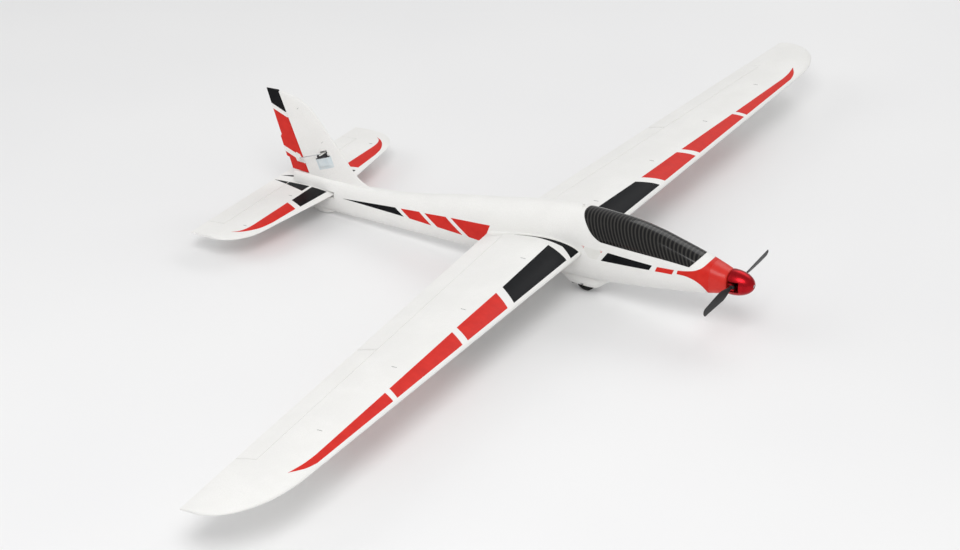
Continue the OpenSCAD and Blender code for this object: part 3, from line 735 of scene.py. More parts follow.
def piece(obj, mats, body, *nodes):
    """Gives a new piece its material or materials and its body, and hides the CAD nodes that it
    replaces."""
    mats = mats if isinstance(mats, tuple) else (mats,)
    dress(obj, *mats)
    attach(obj, body)
    if nodes:
        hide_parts(*nodes)
    return obj


# ---------------------------------------------------------------- outlines and frames

MIRROR = Matrix.Scale(-1, 4, (0, 1, 0))
PORT = {1: LEVEL, -1: LEVEL @ MIRROR}
SIDES = {-1: "right", 1: "left"}


def move(x, y, z):
    return Matrix.Translation((x, y, z))


def turn(angle, axis):
    return Matrix.Rotation(math.radians(angle), 4, axis)


def curve(points, steps=6):
    """Smooth line through points."""
    pts = [Vector(p) for p in points]
    line = []
    for i in range(len(pts) - 1):
        a, p, q, b = pts[max(i - 1, 0)], pts[i], pts[i + 1], pts[min(i + 2, len(pts) - 1)]
        for t in (k / steps for k in range(steps)):
            line.append(tuple(0.5 * (2 * p + (q - a) * t + (2 * a - 5 * p + 4 * q - b) * t * t
                                     + (3 * p - a - 3 * q + b) * t**3)))
    return line + [tuple(pts[-1])]


def shifted(line, d, closed=False):
    """Line moved to its left by d."""
    n = len(line)
    moved = []
    for i, (x, y) in enumerate(line):
        a = line[(i - 1) % n if closed else max(i - 1, 0)]
        b = line[(i + 1) % n if closed else min(i + 1, n - 1)]
        length = math.hypot(b[0] - a[0], b[1] - a[1])
        moved.append((x - d * (b[1] - a[1]) / length, y + d * (b[0] - a[0]) / length))
    return moved


SILL_LINE = curve(SILL[:-1], 8) + [SILL[-1]]


def canopy_outline(gap):
    """Side view of the space that the canopy takes, grown by gap below."""
    line = shifted(SILL_LINE, -gap)
    return line + [(line[-1][0], 200), (line[0][0], 200)]


def wing_servo(s, side):
    """Frame of the wing servo at s: its shaft along z, and its case on the negative side."""
    down = hinge_z(s) - skin_z(s, hinge_x(s) + LINK_LEN, -1) - SERVO_HEIGHT
    return PORT[side] @ hinge_frame(s) @ move(LINK_LEN, down, 0)


FIN_HINGE = LEVEL @ move(RUDDER_X, 0, RUDDER_Z) @ Matrix.Rotation(-LEAN_BACK, 4, "Y")
RUDDER_SERVO = FIN_HINGE @ move(54, -1.5, 31) @ MIRROR
ELEVATOR_SERVO = LEVEL @ move(-470, 19.5, 64) @ turn(-90, "X")
ELEVATOR_HINGE = LEVEL @ move(TAIL_TE + ELEVATOR_CHORD, 0, TAIL_Z + 1.9) @ turn(-90, "X")
TAIL_SCREW = LEVEL @ move(-561, 0, 0)


def cross_bar(name, r, y0, y1, x, z, n=64, side=1):
    """Round bar along Y."""
    return prism(name, circle(r, n), y0, y1, PORT[side] @ move(x, 0, z) @ turn(-90, "X"))


def servo_bay(place, depth):
    """Cutters for a servo's bed, its ears and its arm's slot."""
    spans = [((-17.3, -6.3, -24.3), (7.3, depth, 0)), ((-22, -6.3, -8), (12, depth, -6.4)),
             ((-9, -6.3, -1), (9, depth, 5.2))]
    return [block("bay", low, high, place) for low, high in spans]


def magnet_holes(depth):
    return [prism("magnet_hole", circle(MAGNET_R, 24), 0, depth, LEVEL @ move(x, side * y, z))
            for side in (-1, 1) for x, y, z in MAGNETS]


# ---------------------------------------------------------------- fuselage

def root_outline(rear=None):
    """Wing section at the root in x and z, from the trailing edge over the top, or cut off
    behind rear."""
    c = ROOT_CHORD if rear is None else WING_X - rear
    xs = chord_steps(WING_X, c, 40)
    return ([(x, skin_z(0, x, 1)) for x in reversed(xs)]
            + [(x, skin_z(0, x, -1)) for x in xs[1:]])


def root_fairing():
    """Wing stubs on the fuselage sides, each with a hollow fillet round it."""
    widths = [ROOT_Y, 42, 41, 40, 39, 38, 36.5, 35, 33, 31]
    rings = []
    for y in [-w for w in widths] + widths[::-1]:
        spread_out = 0.035 * (ROOT_Y - abs(y)) ** 2
        outline = shifted(root_outline(), spread_out, closed=True)
        rings.append([(x, y, z) for x, z in outline])
    return loft("fairing", rings)


def skid():
    """Rounded runner below the tail: an arc in side view that stands into the body."""
    arc_x, arc_z, r, half, top = -530, 67.2, 40, 6, 52
    rings = []
    for a in spread(math.radians(206), math.radians(334), 24):
        x, z = arc_x + r * math.cos(a), arc_z + r * math.sin(a)
        ring = [(x, half * math.cos(b), z + 3.5 * (1 - max(0, -math.sin(b)) ** 0.6))
                for b in spread(math.pi, 2 * math.pi, 12)]
        rings.append(ring + [(x, half, top), (x, -half, top)])
    return loft("skid", rings)


def fuselage_solid():
    xs = [-598, -596, -592, -586] + spread(-580, COWL_X, 151)
    body = loft("body", [body_ring(x) for x in xs])
    zs = spread(FIN[0][0], 248, 38) + spread(249, 268, 19)
    combine(body, "UNION", loft("keel", [keel_ring(x) for x in spread(-26, 124, 50)]),
            loft("fin", [fin_ring(z) for z in zs]), skid(), root_fairing())
    slot_low, slot_high = TAIL_Z - TAIL_SLOT_HALF, TAIL_Z + TAIL_SLOT_HALF
    cutters = [
        loft("front_bay", [body_ring(x, FOAM_WALL) for x in spread(30, COWL_X + 1, 50)]),
        loft("rear_bay", [body_ring(x, FOAM_WALL) for x in spread(-450, -30, 50)]),
        side_prism("canopy_space", canopy_outline(0.35), -80, 80),
        cross_bar("spar_tunnel", 6.4, -50, 50, 0, SPAR_Z),
        block("bracket_space", (WHEEL_X - 25, -10, 5), (WHEEL_X + 25, 10, 46.5)),
        cross_bar("wheel_well", 23, -8.5, 8.5, WHEEL_X, WHEEL_R),
        cross_bar("axle_bore", AXLE_R, -30, 30, WHEEL_X, WHEEL_R, 24),
        block("tail_slot", (-660, -40, slot_low), (TAIL_LE - SEAT_STEP, 40, slot_high)),
        prism("screw_hole", circle(1.5, 24), 30, 80, TAIL_SCREW),
        prism("screw_head_hole", circle(3, 32), 30, 42, TAIL_SCREW),
        block("vent_pocket", (VENT_X - 13, -9, 40), (VENT_X + 13, 9, 50)),
    ]
    for side in (-1, 1):
        cutters.append(block("tail_slot_front", (-520, SEAT_HALF - 0.3, slot_low),
                             (TAIL_LE + 2, 40, slot_high), PORT[side]))
        cutters.append(prism("plate_recess", root_outline(-79), -ROOT_Y - 1, 2 - ROOT_Y,
                             PORT[side] @ turn(90, "X")))
    cutters += magnet_holes(4) + servo_bay(RUDDER_SERVO, 20) + servo_bay(ELEVATOR_SERVO, 6.3)
    combine(body, "DIFFERENCE", *cutters)
    return body


def vent():
    """Louvred cooling vent in the pocket under the nose."""
    frame_plate = block("vent_louvres", (VENT_X - 13, -9, 48.6), (VENT_X + 13, 9, 50))
    slats = []
    for k in range(5):
        place = LEVEL @ move(VENT_X - 10 + 5 * k, 0, 47.8) @ turn(-35, "Y")
        slats.append(block("slat", (-1.6, -8.6, -0.3), (1.6, 8.6, 0.3), place))
    combine(frame_plate, "UNION", *slats)
    piece(finish_mesh(frame_plate), BLACK_PLASTIC, "fuselage")


def spine_peg():
    """Small moulded catch behind the canopy."""
    profile = [(1.2, -2), (2.4, -1.5), (2.4, 0.6), (1.3, 1.2), (1.1, 3.2), (1.7, 4.0),
               (1.7, 5.0), (1.1, 5.6), (0.2, 5.8)]
    peg = lathe("spine_peg", profile, LEVEL @ move(58, 0, at(BODY, 2, 58)), 40)
    piece(finish_mesh(peg), WHITE_PLASTIC, "fuselage")


WHEEL_ARCH = [(18, 29.5), (30, 17.5), (60, 14.8), (86, 15.8), (100, 30.5)]
ARCH_TOP = [(100, 30.5), (84, 35), (60, 37), (36, 34.6), (18, 29.5)]


def wheel_trim(side):
    """Panel moulded proud over the wheel well, and the cap on the axle's end."""
    word = SIDES[side]
    shape = WHEEL_ARCH + curve(ARCH_TOP)[1:-1]
    panel = film("wheel_arch_" + word, [shape], lambda x, z: keel_side(x, z, side),
                 (0, side, 0), 3.0, 0.55, 0.4)
    combine(panel, "DIFFERENCE", cross_bar("bore", AXLE_R, -30, 30, WHEEL_X, WHEEL_R, 24))
    piece(panel, FOAM, "fuselage")
    profile = [(1.6, 13.5), (2.9, 13.5), (2.9, 15.5), (2.6, 15.8), (1.6, 15.8)]
    cap = lathe_ring("axle_cap_" + word, profile,
                     PORT[side] @ move(WHEEL_X, 0, WHEEL_R) @ turn(-90, "X"), 40)
    piece(finish_mesh(cap), BLACK_PLASTIC, "fuselage")


def halved(solid, side, name):
    """One half of the fuselage, a hair off the centre plane so that the glue seam shows."""
    half = copy_of(solid, name)
    bm = bmesh.new()
    bm.from_mesh(half.data)
    cut = slice_mesh(bm, (0, side * 0.00009, 0), (0, side, 0), 1e-7, clear_inner=True)
    edges = [e for e in cut["geom_cut"] if isinstance(e, bmesh.types.BMEdge)]
    bmesh.ops.triangle_fill(bm, use_beauty=True, use_dissolve=False, edges=edges)
    bm.to_mesh(half.data)
    bm.free()
    recalc(half)
    return finish_mesh(half)


SIDE_SHAPES = [
    ("boom_wedge", "black", [(-473, 76), (-346, 87), (-326, 73)]),
    ("boom_stripe_1", "red", [(-333, 88), (-289, 92), (-261, 70.5), (-312, 72.4)]),
    ("boom_stripe_2", "red", [(-276.5, 92.3), (-226.7, 97), (-189.3, 68.2), (-247, 70.5)]),
    ("boom_stripe_3", "red", [(-215, 98), (-123.8, 105.3), (-140.8, 65.8), (-174.7, 67.8)]),
    ("nose_flash", "black", [(129.6, 111.2), (218, 105.4), (212, 95), (115, 92)]),
    ("nose_stripe", "red", [(227.8, 104.7), (260.6, 105.3), (256.4, 95.6), (223.4, 95)]),
    ("root_panel", "white", [(77, 113.5), (117.8, 111.4), (106.6, 92.1), (91, 92.1)]),
    ("panel_corner_1", "red", [(76.4, 113.9), (82, 113.6), (79.4, 109.6)]),
    ("panel_corner_2", "red", [(113, 112), (118.6, 111.6), (116, 107.8)]),
]


def fuselage():
    solid = fuselage_solid()
    for side, word in SIDES.items():
        half = halved(solid, side, "fuselage_half_" + word)
        piece(half, FOAM, "fuselage", "fuselage_shell_" + word)
        for name, colour, shape in SIDE_SHAPES:
            sheet = film(f"{name}_{word}", [shape], lambda x, z: body_side(x, z, side),
                         (0, side, 0))
            piece(sheet, FILMS[colour], "fuselage")
        wheel_trim(side)
        # Slits in the fin, drawn as thin sheets of painted shade instead of being cut into the foam
        for k, (x, z) in enumerate(((-576, 240.4), (-522.6, 179.6))):
            slit = [(x - 2.2, z - 1.6), (x - 1.8, z - 2), (x + 2.2, z + 1.6), (x + 1.8, z + 2)]
            sheet = film(f"fin_slit_{k}_{word}", [slit],
                         lambda u, v: (u, side * fin_side(u, v), v), (0, side, 0))
            piece(sheet, SLIT_SHADE, "fuselage")
    drop(solid)
    vent()
    spine_peg()


NOSE_CURVE_TOP = [(319, 125), (311, 117), (299, 111), (284, 107.8), (267.5, 105.6)]
NOSE_CURVE_LOW = [(265.5, 98.5), (283, 97.6), (299, 93), (312, 85), (319, 76), (320.5, 68),
                  (320, 60)]


def nose():
    """Painted band on the foam and the moulded cowl ahead of it."""
    outer = loft("nose_band", [body_ring(x, -0.16) for x in spread(262, COWL_X, 32)])
    inner = loft("inner", [body_ring(x, 0.5) for x in spread(258, COWL_X + 4, 34)])
    outline = ([(COWL_X + 1, 150), (319, 150)] + curve(NOSE_CURVE_TOP) + curve(NOSE_CURVE_LOW)
               + [(320, 40), (COWL_X + 1, 40)])
    combine(outer, "INTERSECT", side_prism("region", outline, -60, 60))
    combine(outer, "DIFFERENCE", inner)
    piece(finish_mesh(outer), RED_FILM, "fuselage")

    cowl_stations = [COWL_X + 0.1, 327] + spread(328, 350, 22) + [351, 352, 353, 354, 355]
    cowl = loft("nose_cowl_shell", [body_ring(x, -0.1) for x in cowl_stations]
                + [body_ring(NOSE_X - 0.45, 0.25), body_ring(NOSE_X - 0.12, 0.75),
                   body_ring(NOSE_X, 1.6)])
    shaft = LEVEL @ move(0, 0, SHAFT_Z) @ turn(90, "Y")
    cutters = [loft("inside", [body_ring(x, 1.8) for x in [COWL_X] + spread(328, 354, 26)]),
               prism("shaft_hole", circle(9, 64), 340, 370, shaft),
               block("inlet", (331, -7, 55), (342, 7, 67.2))]
    for a in range(45, 360, 90):
        spot = (13 * math.cos(math.radians(a)), 13 * math.sin(math.radians(a)))
        cutters.append(prism("screw_hole", circle(2.6, 32, *spot), 350, 370, shaft))
    combine(cowl, "DIFFERENCE", *cutters)
    piece(finish_mesh(cowl), RED_PLASTIC, "fuselage", "nose_cowl")


def canopy():
    """Glossy hatch over the battery bay."""
    shell = loft("canopy_hatch", [body_ring(x, 0, 120) for x in spread(60, 310, 84)])
    combine(shell, "INTERSECT", side_prism("region", canopy_outline(0), -80, 80))
    inside_shell = loft("inside", [body_ring(x, 5) for x in spread(62, 300, 60)])
    combine(shell, "DIFFERENCE", inside_shell, *magnet_holes(7.5))
    piece(finish_mesh(shell), CANOPY, "canopy", "canopy")


# ---------------------------------------------------------------- wings

TOP_SHAPES = [
    ("tip_flash", "red", [(602, 5), (813, 5)] + curve([(813, 5), (838, 10.5), (863, 24)])[1:]
     + curve([(863, 24), (830, 18.8), (799, 17.5)])[1:] + [(594, 26)]),
    ("stripe_1", "red", [(590, 5), (393, 5), (376, 36.5), (580, 27)]),
    ("stripe_2", "red", [(376, 5), (247, 5), (223, 43), (359, 38)]),
    ("root_flash", "black", [(226, 5), (44, 5), (25, 54), (200, 44)]),
    ("root_sliver", "black", [(32, 3), (3.5, 3), (3.5, 139), (6, 90), (15, 30)]),
]
BOTTOM_SHAPES = [
    ("root_block", "black", [(23.5, 115), (121, 110), (86, 64), (20, 66)]),
    ("block_1", "black", [(151, 109), (321, 104), (289, 58), (117, 63)]),
    ("block_2", "red", [(348, 104), (489, 99), (460, 54), (315, 57)]),
    ("block_3", "red", [(518, 98), (677, 92), (653, 47), (491, 54)]),
]


def wing_stations():
    round_tip = [PANEL - TIP_ROUND * (1 - math.sin(math.radians(a))) for a in range(0, 91, 3)]
    return [3.3] + spread(20, 830, 45) + round_tip


def wing_solid(side):
    rings = [wing_ring(s) for s in wing_stations()]
    return loft("wing", rings, PORT[side])


def surface_gap(side, start, end):
    """Cutter for the space of a moving surface in the wing panel."""
    return block("cut", (-70, -20, 0), (0.5, 20, (end - start) / math.cos(SWEEP)),
                 PORT[side] @ hinge_frame(start))


def wedge(low, high, bevel, place):
    """What a moving surface keeps: all behind its hinge line and its two bevels."""
    outline = [(0, 0), (-20 * math.tan(math.radians(UPPER_BEVEL)), -20), (-70, -20), (-70, 20),
               (-20 * math.tan(math.radians(bevel)), 20)]
    return prism("wedge", outline, low, high, place)


def wing_film(name, shape, side, up, mat, body, lift=FILM_LIFT):
    def surface(s, d):
        x = WING_X - d
        return (x, side * (ROOT_Y + s), skin_z(s, x, up))

    return piece(film(name, [shape], surface, (0, 0, up), 4.0, lift), mat, body)


def slit_outline(u, v, half):
    return [(u - 0.5, v - half), (u + 0.5, v - half), (u + 0.5, v + half), (u - 0.5, v + half)]


def pad_outline(u, v, half_u, half_v, corner=1.5):
    """Rectangle with cut corners round the point u, v."""
    quarter = [(half_u, half_v - corner), (half_u - corner, half_v)]
    return ([(u + a, v + b) for a, b in quarter] + [(u - a, v + b) for a, b in reversed(quarter)]
            + [(u - a, v - b) for a, b in quarter] + [(u + a, v - b) for a, b in reversed(quarter)])


def wing_servo_bays(side):
    return [cutter for _, _, link, _ in SURFACES.values()
            for cutter in servo_bay(wing_servo(link, side), 20)]


def wing(side):
    word = SIDES[side]
    body = "wing_" + word
    panel = wing_solid(side)
    moving = {what: copy_of(panel, f"{what}_surface_{word}") for what in SURFACES}
    panel.name = "wing_foam_" + word
    cutters = [surface_gap(side, start, end) for start, end, _, _ in SURFACES.values()]
    cutters += [cross_bar("spar_bore", 5.4, 0, 418, 0, SPAR_Z, 64, side),
                cross_bar("sleeve_bore", 6.3, 0, 103, 0, SPAR_Z, 64, side),
                block("horn_slot", (-1, 6.5, -0.8), (12.5, 26.5, 2.4),
                      PORT[side] @ hinge_frame(SURFACES["flap"][2]))]
    combine(panel, "DIFFERENCE", *cutters, *wing_servo_bays(side))
    piece(finish_mesh(panel), FOAM, body, "wing_panel_" + word)
    for what, (start, end, _, bevel) in SURFACES.items():
        span = (end - start - 2) / math.cos(SWEEP)
        combine(moving[what], "INTERSECT",
                wedge(0, span, bevel, PORT[side] @ hinge_frame(start + 1)))
        piece(finish_mesh(moving[what]), FOAM, f"{what}_{word}", f"{what}_{word}")

    for name, colour, shape in TOP_SHAPES:
        wing_film(f"{name}_{word}", shape, side, 1, FILMS[colour], body)
    for name, colour, shape in BOTTOM_SHAPES:
        sheet = wing_film(f"{name}_{word}", shape, side, -1, FILMS[colour], body)
        combine(sheet, "DIFFERENCE", *wing_servo_bays(side))
    strip = [(s, ROOT_CHORD - SWEEP_DROP * s - FLAP_CHORD + d)
             for s, d in ((500, 10), (843, 10), (843, 13), (500, 13))]
    wing_film("carbon_strip_" + word, strip, side, -1, CARBON, "aileron_" + word)
    # Slits in the wing's upper skin, drawn as thin sheets of painted shade instead of being cut into
    # the foam
    for i, (s, d) in enumerate(((90, 68), (300, 62), (520, 58), (740, 52))):
        wing_film(f"top_slit_{i}_{word}", slit_outline(s, d, 5), side, 1, SLIT_SHADE, body)
    for what, (_, _, link, _) in SURFACES.items():
        pad = pad_outline(link + 0.8, WING_X - hinge_x(link) + 17.5, 5, 8.5)
        wing_film(f"{what}_horn_base_{word}", pad, side, -1, WHITE_PLASTIC, f"{what}_{word}",
                  BASE_LIFT)
    tip_skid(side)


def tip_skid(side):
    """Moulded runner below the wing tip."""
    s0, d0, half_s, half_d, depth = 885, 63, 9, 24.5, 4
    rings = []
    for k in range(1, 18):
        a = math.pi * k / 18
        x = WING_X - d0 + half_d * math.cos(a)
        w = half_s * math.sin(a) ** 0.8
        h = depth * math.sin(a) ** 0.7
        ring = []
        for j in range(13):
            b = math.pi * j / 12
            s = s0 + w * math.cos(b)
            ring.append((x, ROOT_Y + s, skin_z(s, x, -1) - h * math.sin(b)))
        root = skin_z(s0, x, -1) + 2
        rings.append(ring + [(x, ROOT_Y + s0 - w, root), (x, ROOT_Y + s0 + w, root)])
    runner = loft("tip_runner_" + SIDES[side], rings, PORT[side])
    piece(finish_mesh(runner), WHITE_PLASTIC, "wing_" + SIDES[side])


# ---------------------------------------------------------------- tail

def tail_solid():
    outer = [TAIL_HALF * math.sin(math.radians(a)) for a in range(48, 91, 2)]
    ys = [-y for y in reversed(outer)] + spread(-195, 195, 39) + outer
    return loft("tail", [tail_ring(y) for y in ys])


ELEVATOR_BLACK = [(10.9, 2), (37.8, 88.8), (14, 89.6)]
TAIL_RED = (curve([(244, 73.7), (234, 85), (217.6, 91.6), (197.7, 93.6)]) + [(93, 94.4),
            (106, 122.8), (172.8, 117.8)]
            + curve([(172.8, 117.8), (200.7, 112.2), (221, 102.1), (235.5, 89), (244, 73.7)])[1:-1])
TAIL_BLACK = [(80.9, 95.8), (14.5, 96.3), (16.6, 132.8), (93.3, 125.3)]


def tail_film(name, shape, side, up, mat, body, lift=FILM_LIFT):
    def surface(y, d):
        x = TAIL_TE + d
        return (x, side * y, TAIL_Z + up * tail_half(y, x))

    return piece(film(name, [shape], surface, (0, 0, up), 4.0, lift), mat, body)


def cut_line(a, b, d):
    """Point of the line from a to b that is d ahead of the trailing edge."""
    t = (d - a[1]) / (b[1] - a[1])
    return (mix(a[0], b[0], t), d)


def tailplane():
    plane = tail_solid()
    elevator = copy_of(plane, "elevator_surface")
    plane.name = "tailplane_foam"
    cutters = [
        block("cut", (-60, -20, -ELEVATOR_HALF - 0.6), (0.5, 20, ELEVATOR_HALF + 0.6),
              ELEVATOR_HINGE),
        block("notch", (TAIL_LE - SEAT_STEP, -SEAT_HALF, 60), (TAIL_LE + 15, SEAT_HALF, 90)),
        prism("screw_hole", circle(1.5, 24), 60, TAIL_Z, TAIL_SCREW),
    ]
    combine(plane, "DIFFERENCE", *cutters)
    combine(elevator, "INTERSECT",
            wedge(-ELEVATOR_HALF, ELEVATOR_HALF, ELEVATOR_BEVEL, ELEVATOR_HINGE))
    piece(finish_mesh(plane), FOAM, "fuselage", "tailplane")
    piece(finish_mesh(elevator), FOAM, "elevator", "elevator")
    tip, outer, inner = ELEVATOR_BLACK
    ahead = ELEVATOR_CHORD + 0.9
    front = [cut_line(tip, inner, ahead), cut_line(tip, outer, ahead), outer, inner]
    for side, word in SIDES.items():
        for up, face in ((1, "top"), (-1, "bottom")):
            end = f"{face}_{word}"
            # The elevator's lower bevel reaches further back than the upper one
            behind = ELEVATOR_CHORD - (1.4 if up > 0 else 5.6)
            rear = [tip, cut_line(tip, outer, behind), cut_line(tip, inner, behind)]
            tail_film("tail_wedge_rear_" + end, rear, side, up, BLACK_FILM, "elevator")
            tail_film("tail_wedge_" + end, front, side, up, BLACK_FILM, "fuselage")
            tail_film("tail_block_" + end, TAIL_BLACK, side, up, BLACK_FILM, "fuselage")
            tail_film("tail_flash_" + end, TAIL_RED, side, up, RED_FILM, "fuselage")
            # Slits in the tailplane, drawn as thin sheets of painted shade instead of being cut into
            # the foam
            for k, y in enumerate((65, 211)):
                tail_film(f"tail_slit_{k}_{end}", slit_outline(y, 81, 4), side, up, SLIT_SHADE,
                          "fuselage")


def tail_horn_bases():
    """Base plates of the horns on the elevator and the rudder."""
    tail_film("elevator_horn_base", pad_outline(29.8, ELEVATOR_CHORD - 15, 5, 9), 1, -1,
              WHITE_PLASTIC, "elevator", BASE_LIFT)
    shape = [(-588, 146), (-579, 143), (-573.5, 136), (-571.5, 130), (-572, 127), (-587, 127),
             (-590, 134)]
    plate = film("rudder_horn_base", [shape], lambda x, z: (x, -rudder_half(x, z), z),
                 (0, -1, 0), 4.0, BASE_LIFT)
    piece(plate, WHITE_PLASTIC, "rudder")


RUDDER_PAINT = [
    ("black", [(-660, 246.1), (-640.3, 239.1), (-605, 226.7), (-590, 221.4), (-590, 280),
               (-660, 280)]),
    ("red", [(-637.1, 228.1), (-600.9, 216.1), (-590, 213), (-550, 135), (-569.8, 135.1),
             (-586.2, 142.4), (-619.9, 153.4), (-650, 163.5)]),
    ("red", [(-640, 148.9), (-616.2, 141.5), (-565.7, 124.8), (-540, 117), (-540, 100),
             (-640, 100)]),
]


def inside(outline, x, z):
    hit = False
    for i, (x1, z1) in enumerate(outline):
        x0, z0 = outline[i - 1]
        if (z0 > z) != (z1 > z) and x < mix(x0, x1, (z - z0) / (z1 - z0)):
            hit = not hit
    return hit


def rudder():
    zs = sorted(spread(107.5, 269.5, 40) + [z for z, x in TRAILING[1:-1]])
    rings = []
    for z in zs:
        axis, front, h = rudder_nose(z)
        side = [(axis, 0, z)] + [(x, rudder_half(x, z), z) for x in spread(front, rudder_te(z), 12)]
        rings.append(side + [(x, -y, z) for x, y, z in reversed(side[1:])])
    obj = loft("rudder_surface", rings)
    bm = bmesh.new()
    bm.from_mesh(obj.data)
    back = LEVEL.inverted()
    for _, outline in RUDDER_PAINT:
        for i, end in enumerate(outline):
            start = outline[i - 1]
            # Edges clear of the rudder's outline need no cut
            if abs(start[0]) + abs(end[0]) > 1270 or min(start[1], end[1]) < 101:
                continue
            here = LEVEL @ Vector((end[0], 0, end[1]))
            there = LEVEL @ Vector((start[0], 0, start[1]))
            normal = (there - here).cross(Vector((0, 1, 0))).normalized()
            slice_mesh(bm, here, normal, 1e-6)
    for f in bm.faces:
        spot = back @ f.calc_center_median()
        for colour, outline in RUDDER_PAINT:
            if inside(outline, spot.x, spot.z):
                f.material_index = 1 if colour == "red" else 2
    bm.to_mesh(obj.data)
    bm.free()
    piece(finish_mesh(obj), (FOAM, RED_FILM, BLACK_FILM), "rudder", "rudder")


def servo_spot(u, v):
    """Level point at u, v of the rudder servo's frame."""
    return LEVEL.inverted() @ RUDDER_SERVO @ Vector((u, 0, v))


def fin_drape(side, height, u, v):
    """Point of the fin's skin at u, v of the rudder servo's frame, raised over its case."""
    spot = servo_spot(u, v)
    outside = max(-17.4 - u, u - 7.4, -24.4 - v, v + 8.5, 0)
    drape = max(0.0, 1 - outside / 6) ** 2
    return (spot.x, side * mix(fin_side(spot.x, spot.z), height, drape), spot.z)


def servo_tape():
    """Clear tape stretched over the rudder servo's case on the right of the fin, and the
    blister moulded over it on the left."""
    shape = [(-23, -31), (12, -31), (14, -29), (14, -8), (-24, -8), (-24, -30)]
    patch = film("servo_tape", [shape], lambda u, v: fin_drape(-1, 7.75, u, v), (0, -1, 0),
                 1.5, 0.12, 0.2)
    piece(patch, TAPE, "fuselage")

    def blister(u, v):
        spot = servo_spot(u, v)
        outside = max(-22 - u, u - 12, -25 - v, v - 1.5, 0)
        rise = max(0.0, 1 - (outside / 9) ** 1.5)
        base = fin_side(spot.x, spot.z)
        return (spot.x, mix(base - 0.5, max(base, 5.1), rise), spot.z)

    edge = [(22 * power(math.cos(a), 0.6) - 5, 20 * power(math.sin(a), 0.6) - 12)
            for a in (math.radians(6 * k) for k in range(60))]
    bulge = film("servo_blister", [edge], blister, (0, 1, 0), 1.5, 0.3, 0.3)
    piece(bulge, FOAM, "fuselage")


# ---------------------------------------------------------------- servos and wheel

def servo(name, place, body, *cad):
    """Small servo: case in three mouldings, mounting ears and gear boss."""
    case = block(name, (-17, -6, -24), (7, 6, -0.6), place)
    round_edges(case, 0.8)
    grooves = [block("g", (-18, -7, z), (8, 7, z + 0.25), place) for z in (-19.2, -6.1)]
    core = block("core", (-16.75, -5.75, -23.6), (6.75, 5.75, -1), place)
    combine(case, "DIFFERENCE", *grooves)
    ears = block("ears", (-22, -6, -8), (12, 6, -6.4), place)
    round_edges(ears, 0.5)
    holes = [prism("hole", circle(1, 24, x, 0), -9, -5, place) for x in (-19.8, 9.8)]
    combine(ears, "DIFFERENCE", *holes)
    boss = prism("boss", circle(2.4, 40), -0.8, -0.1, place)
    whole = join(name, [case, core, ears, boss])
    piece(finish_mesh(whole), SERVO_PLASTIC, body, *cad)
    label = prism(name + "_label", pad_outline(-5, -12.65, 10, 5.75, 1.2), -6.08, -5.9,
                  place @ turn(90, "X"))
    piece(label, LABEL, body)


def servos():
    for side, word in SIDES.items():
        for what, (_, _, link, _) in SURFACES.items():
            # One CAD part holds both servos of a wing, and the flap's servo stands in for it
            cad = ["wing_servos_" + word] if what == "flap" else []
            servo(f"{what}_servo_{word}", wing_servo(link, side), "wing_" + word, *cad)
    servo("rudder_servo_case", RUDDER_SERVO, "fuselage", "rudder_servo")
    servo("elevator_servo_case", ELEVATOR_SERVO, "fuselage", "elevator_servo")


def wheel():
    axis = LEVEL @ move(WHEEL_X, 0, WHEEL_R) @ turn(90, "X")
    # Round section from the bore's lower edge outward to its upper edge
    ring = [p for p in circle(7, 40, 13) if p[0] > 11]
    start = ring.index(min((p for p in ring if p[1] < 0), key=lambda p: p[0]))
    profile = []
    for r, h in ring[start:] + ring[:start]:
        groove = 0.45 if r > 17.5 and any(abs(h - g) < 0.55 for g in (-3.3, 0, 3.3)) else 0
        profile.append((r - groove, h))
    tyre = lathe_ring("foam_tyre", profile, axis, 96)
    piece(finish_mesh(tyre, 50), RUBBER, "wheel", "tyre")


# ---------------------------------------------------------------- propeller

def blade(side, name, cad):
    place = LEVEL @ move(PIN_X, 0, SHAFT_Z) @ turn(0 if side > 0 else 180, "X")
    rings = []
    for k in range(49):
        t = k / 48
        y = mix(PIN_Y + 3.2, BLADE_TIP, t)
        g = min(1, t / BLADE_STEM)
        c = mix(3.4, mix(11.2, 6.5, t), g * g * (3 - 2 * g))
        h = mix(2.6, 0.6, math.sqrt(t))
        if t > 0.94:
            c *= math.sqrt(max(0.04, 1 - ((t - 0.94) / 0.062) ** 2)) ** 0.6
        a = math.radians(mix(62, 14, t**0.6))
        ring = []
        for b in [math.radians(d) for d in range(0, 360, 12)]:
            u, v = c * math.cos(b), h * math.sin(b)
            ring.append((v * math.cos(a) + u * math.sin(a) * 0.62, y,
                         u * math.cos(a) - v * math.sin(a) + 3 * t * t))
        rings.append(ring)
    obj = loft(name, rings, place)
    eye = lathe("eye", [(4.1, -3.4), (4.6, -2.9), (4.6, 2.9), (4.1, 3.4)],
                place @ move(0, PIN_Y, 0), 48)
    combine(obj, "UNION", eye)
    combine(obj, "DIFFERENCE", prism("bore", circle(1.56, 32, 0, PIN_Y), -5, 5, place))
    piece(finish_mesh(obj), BLACK_PLASTIC, "blade_" + name[-1], cad)


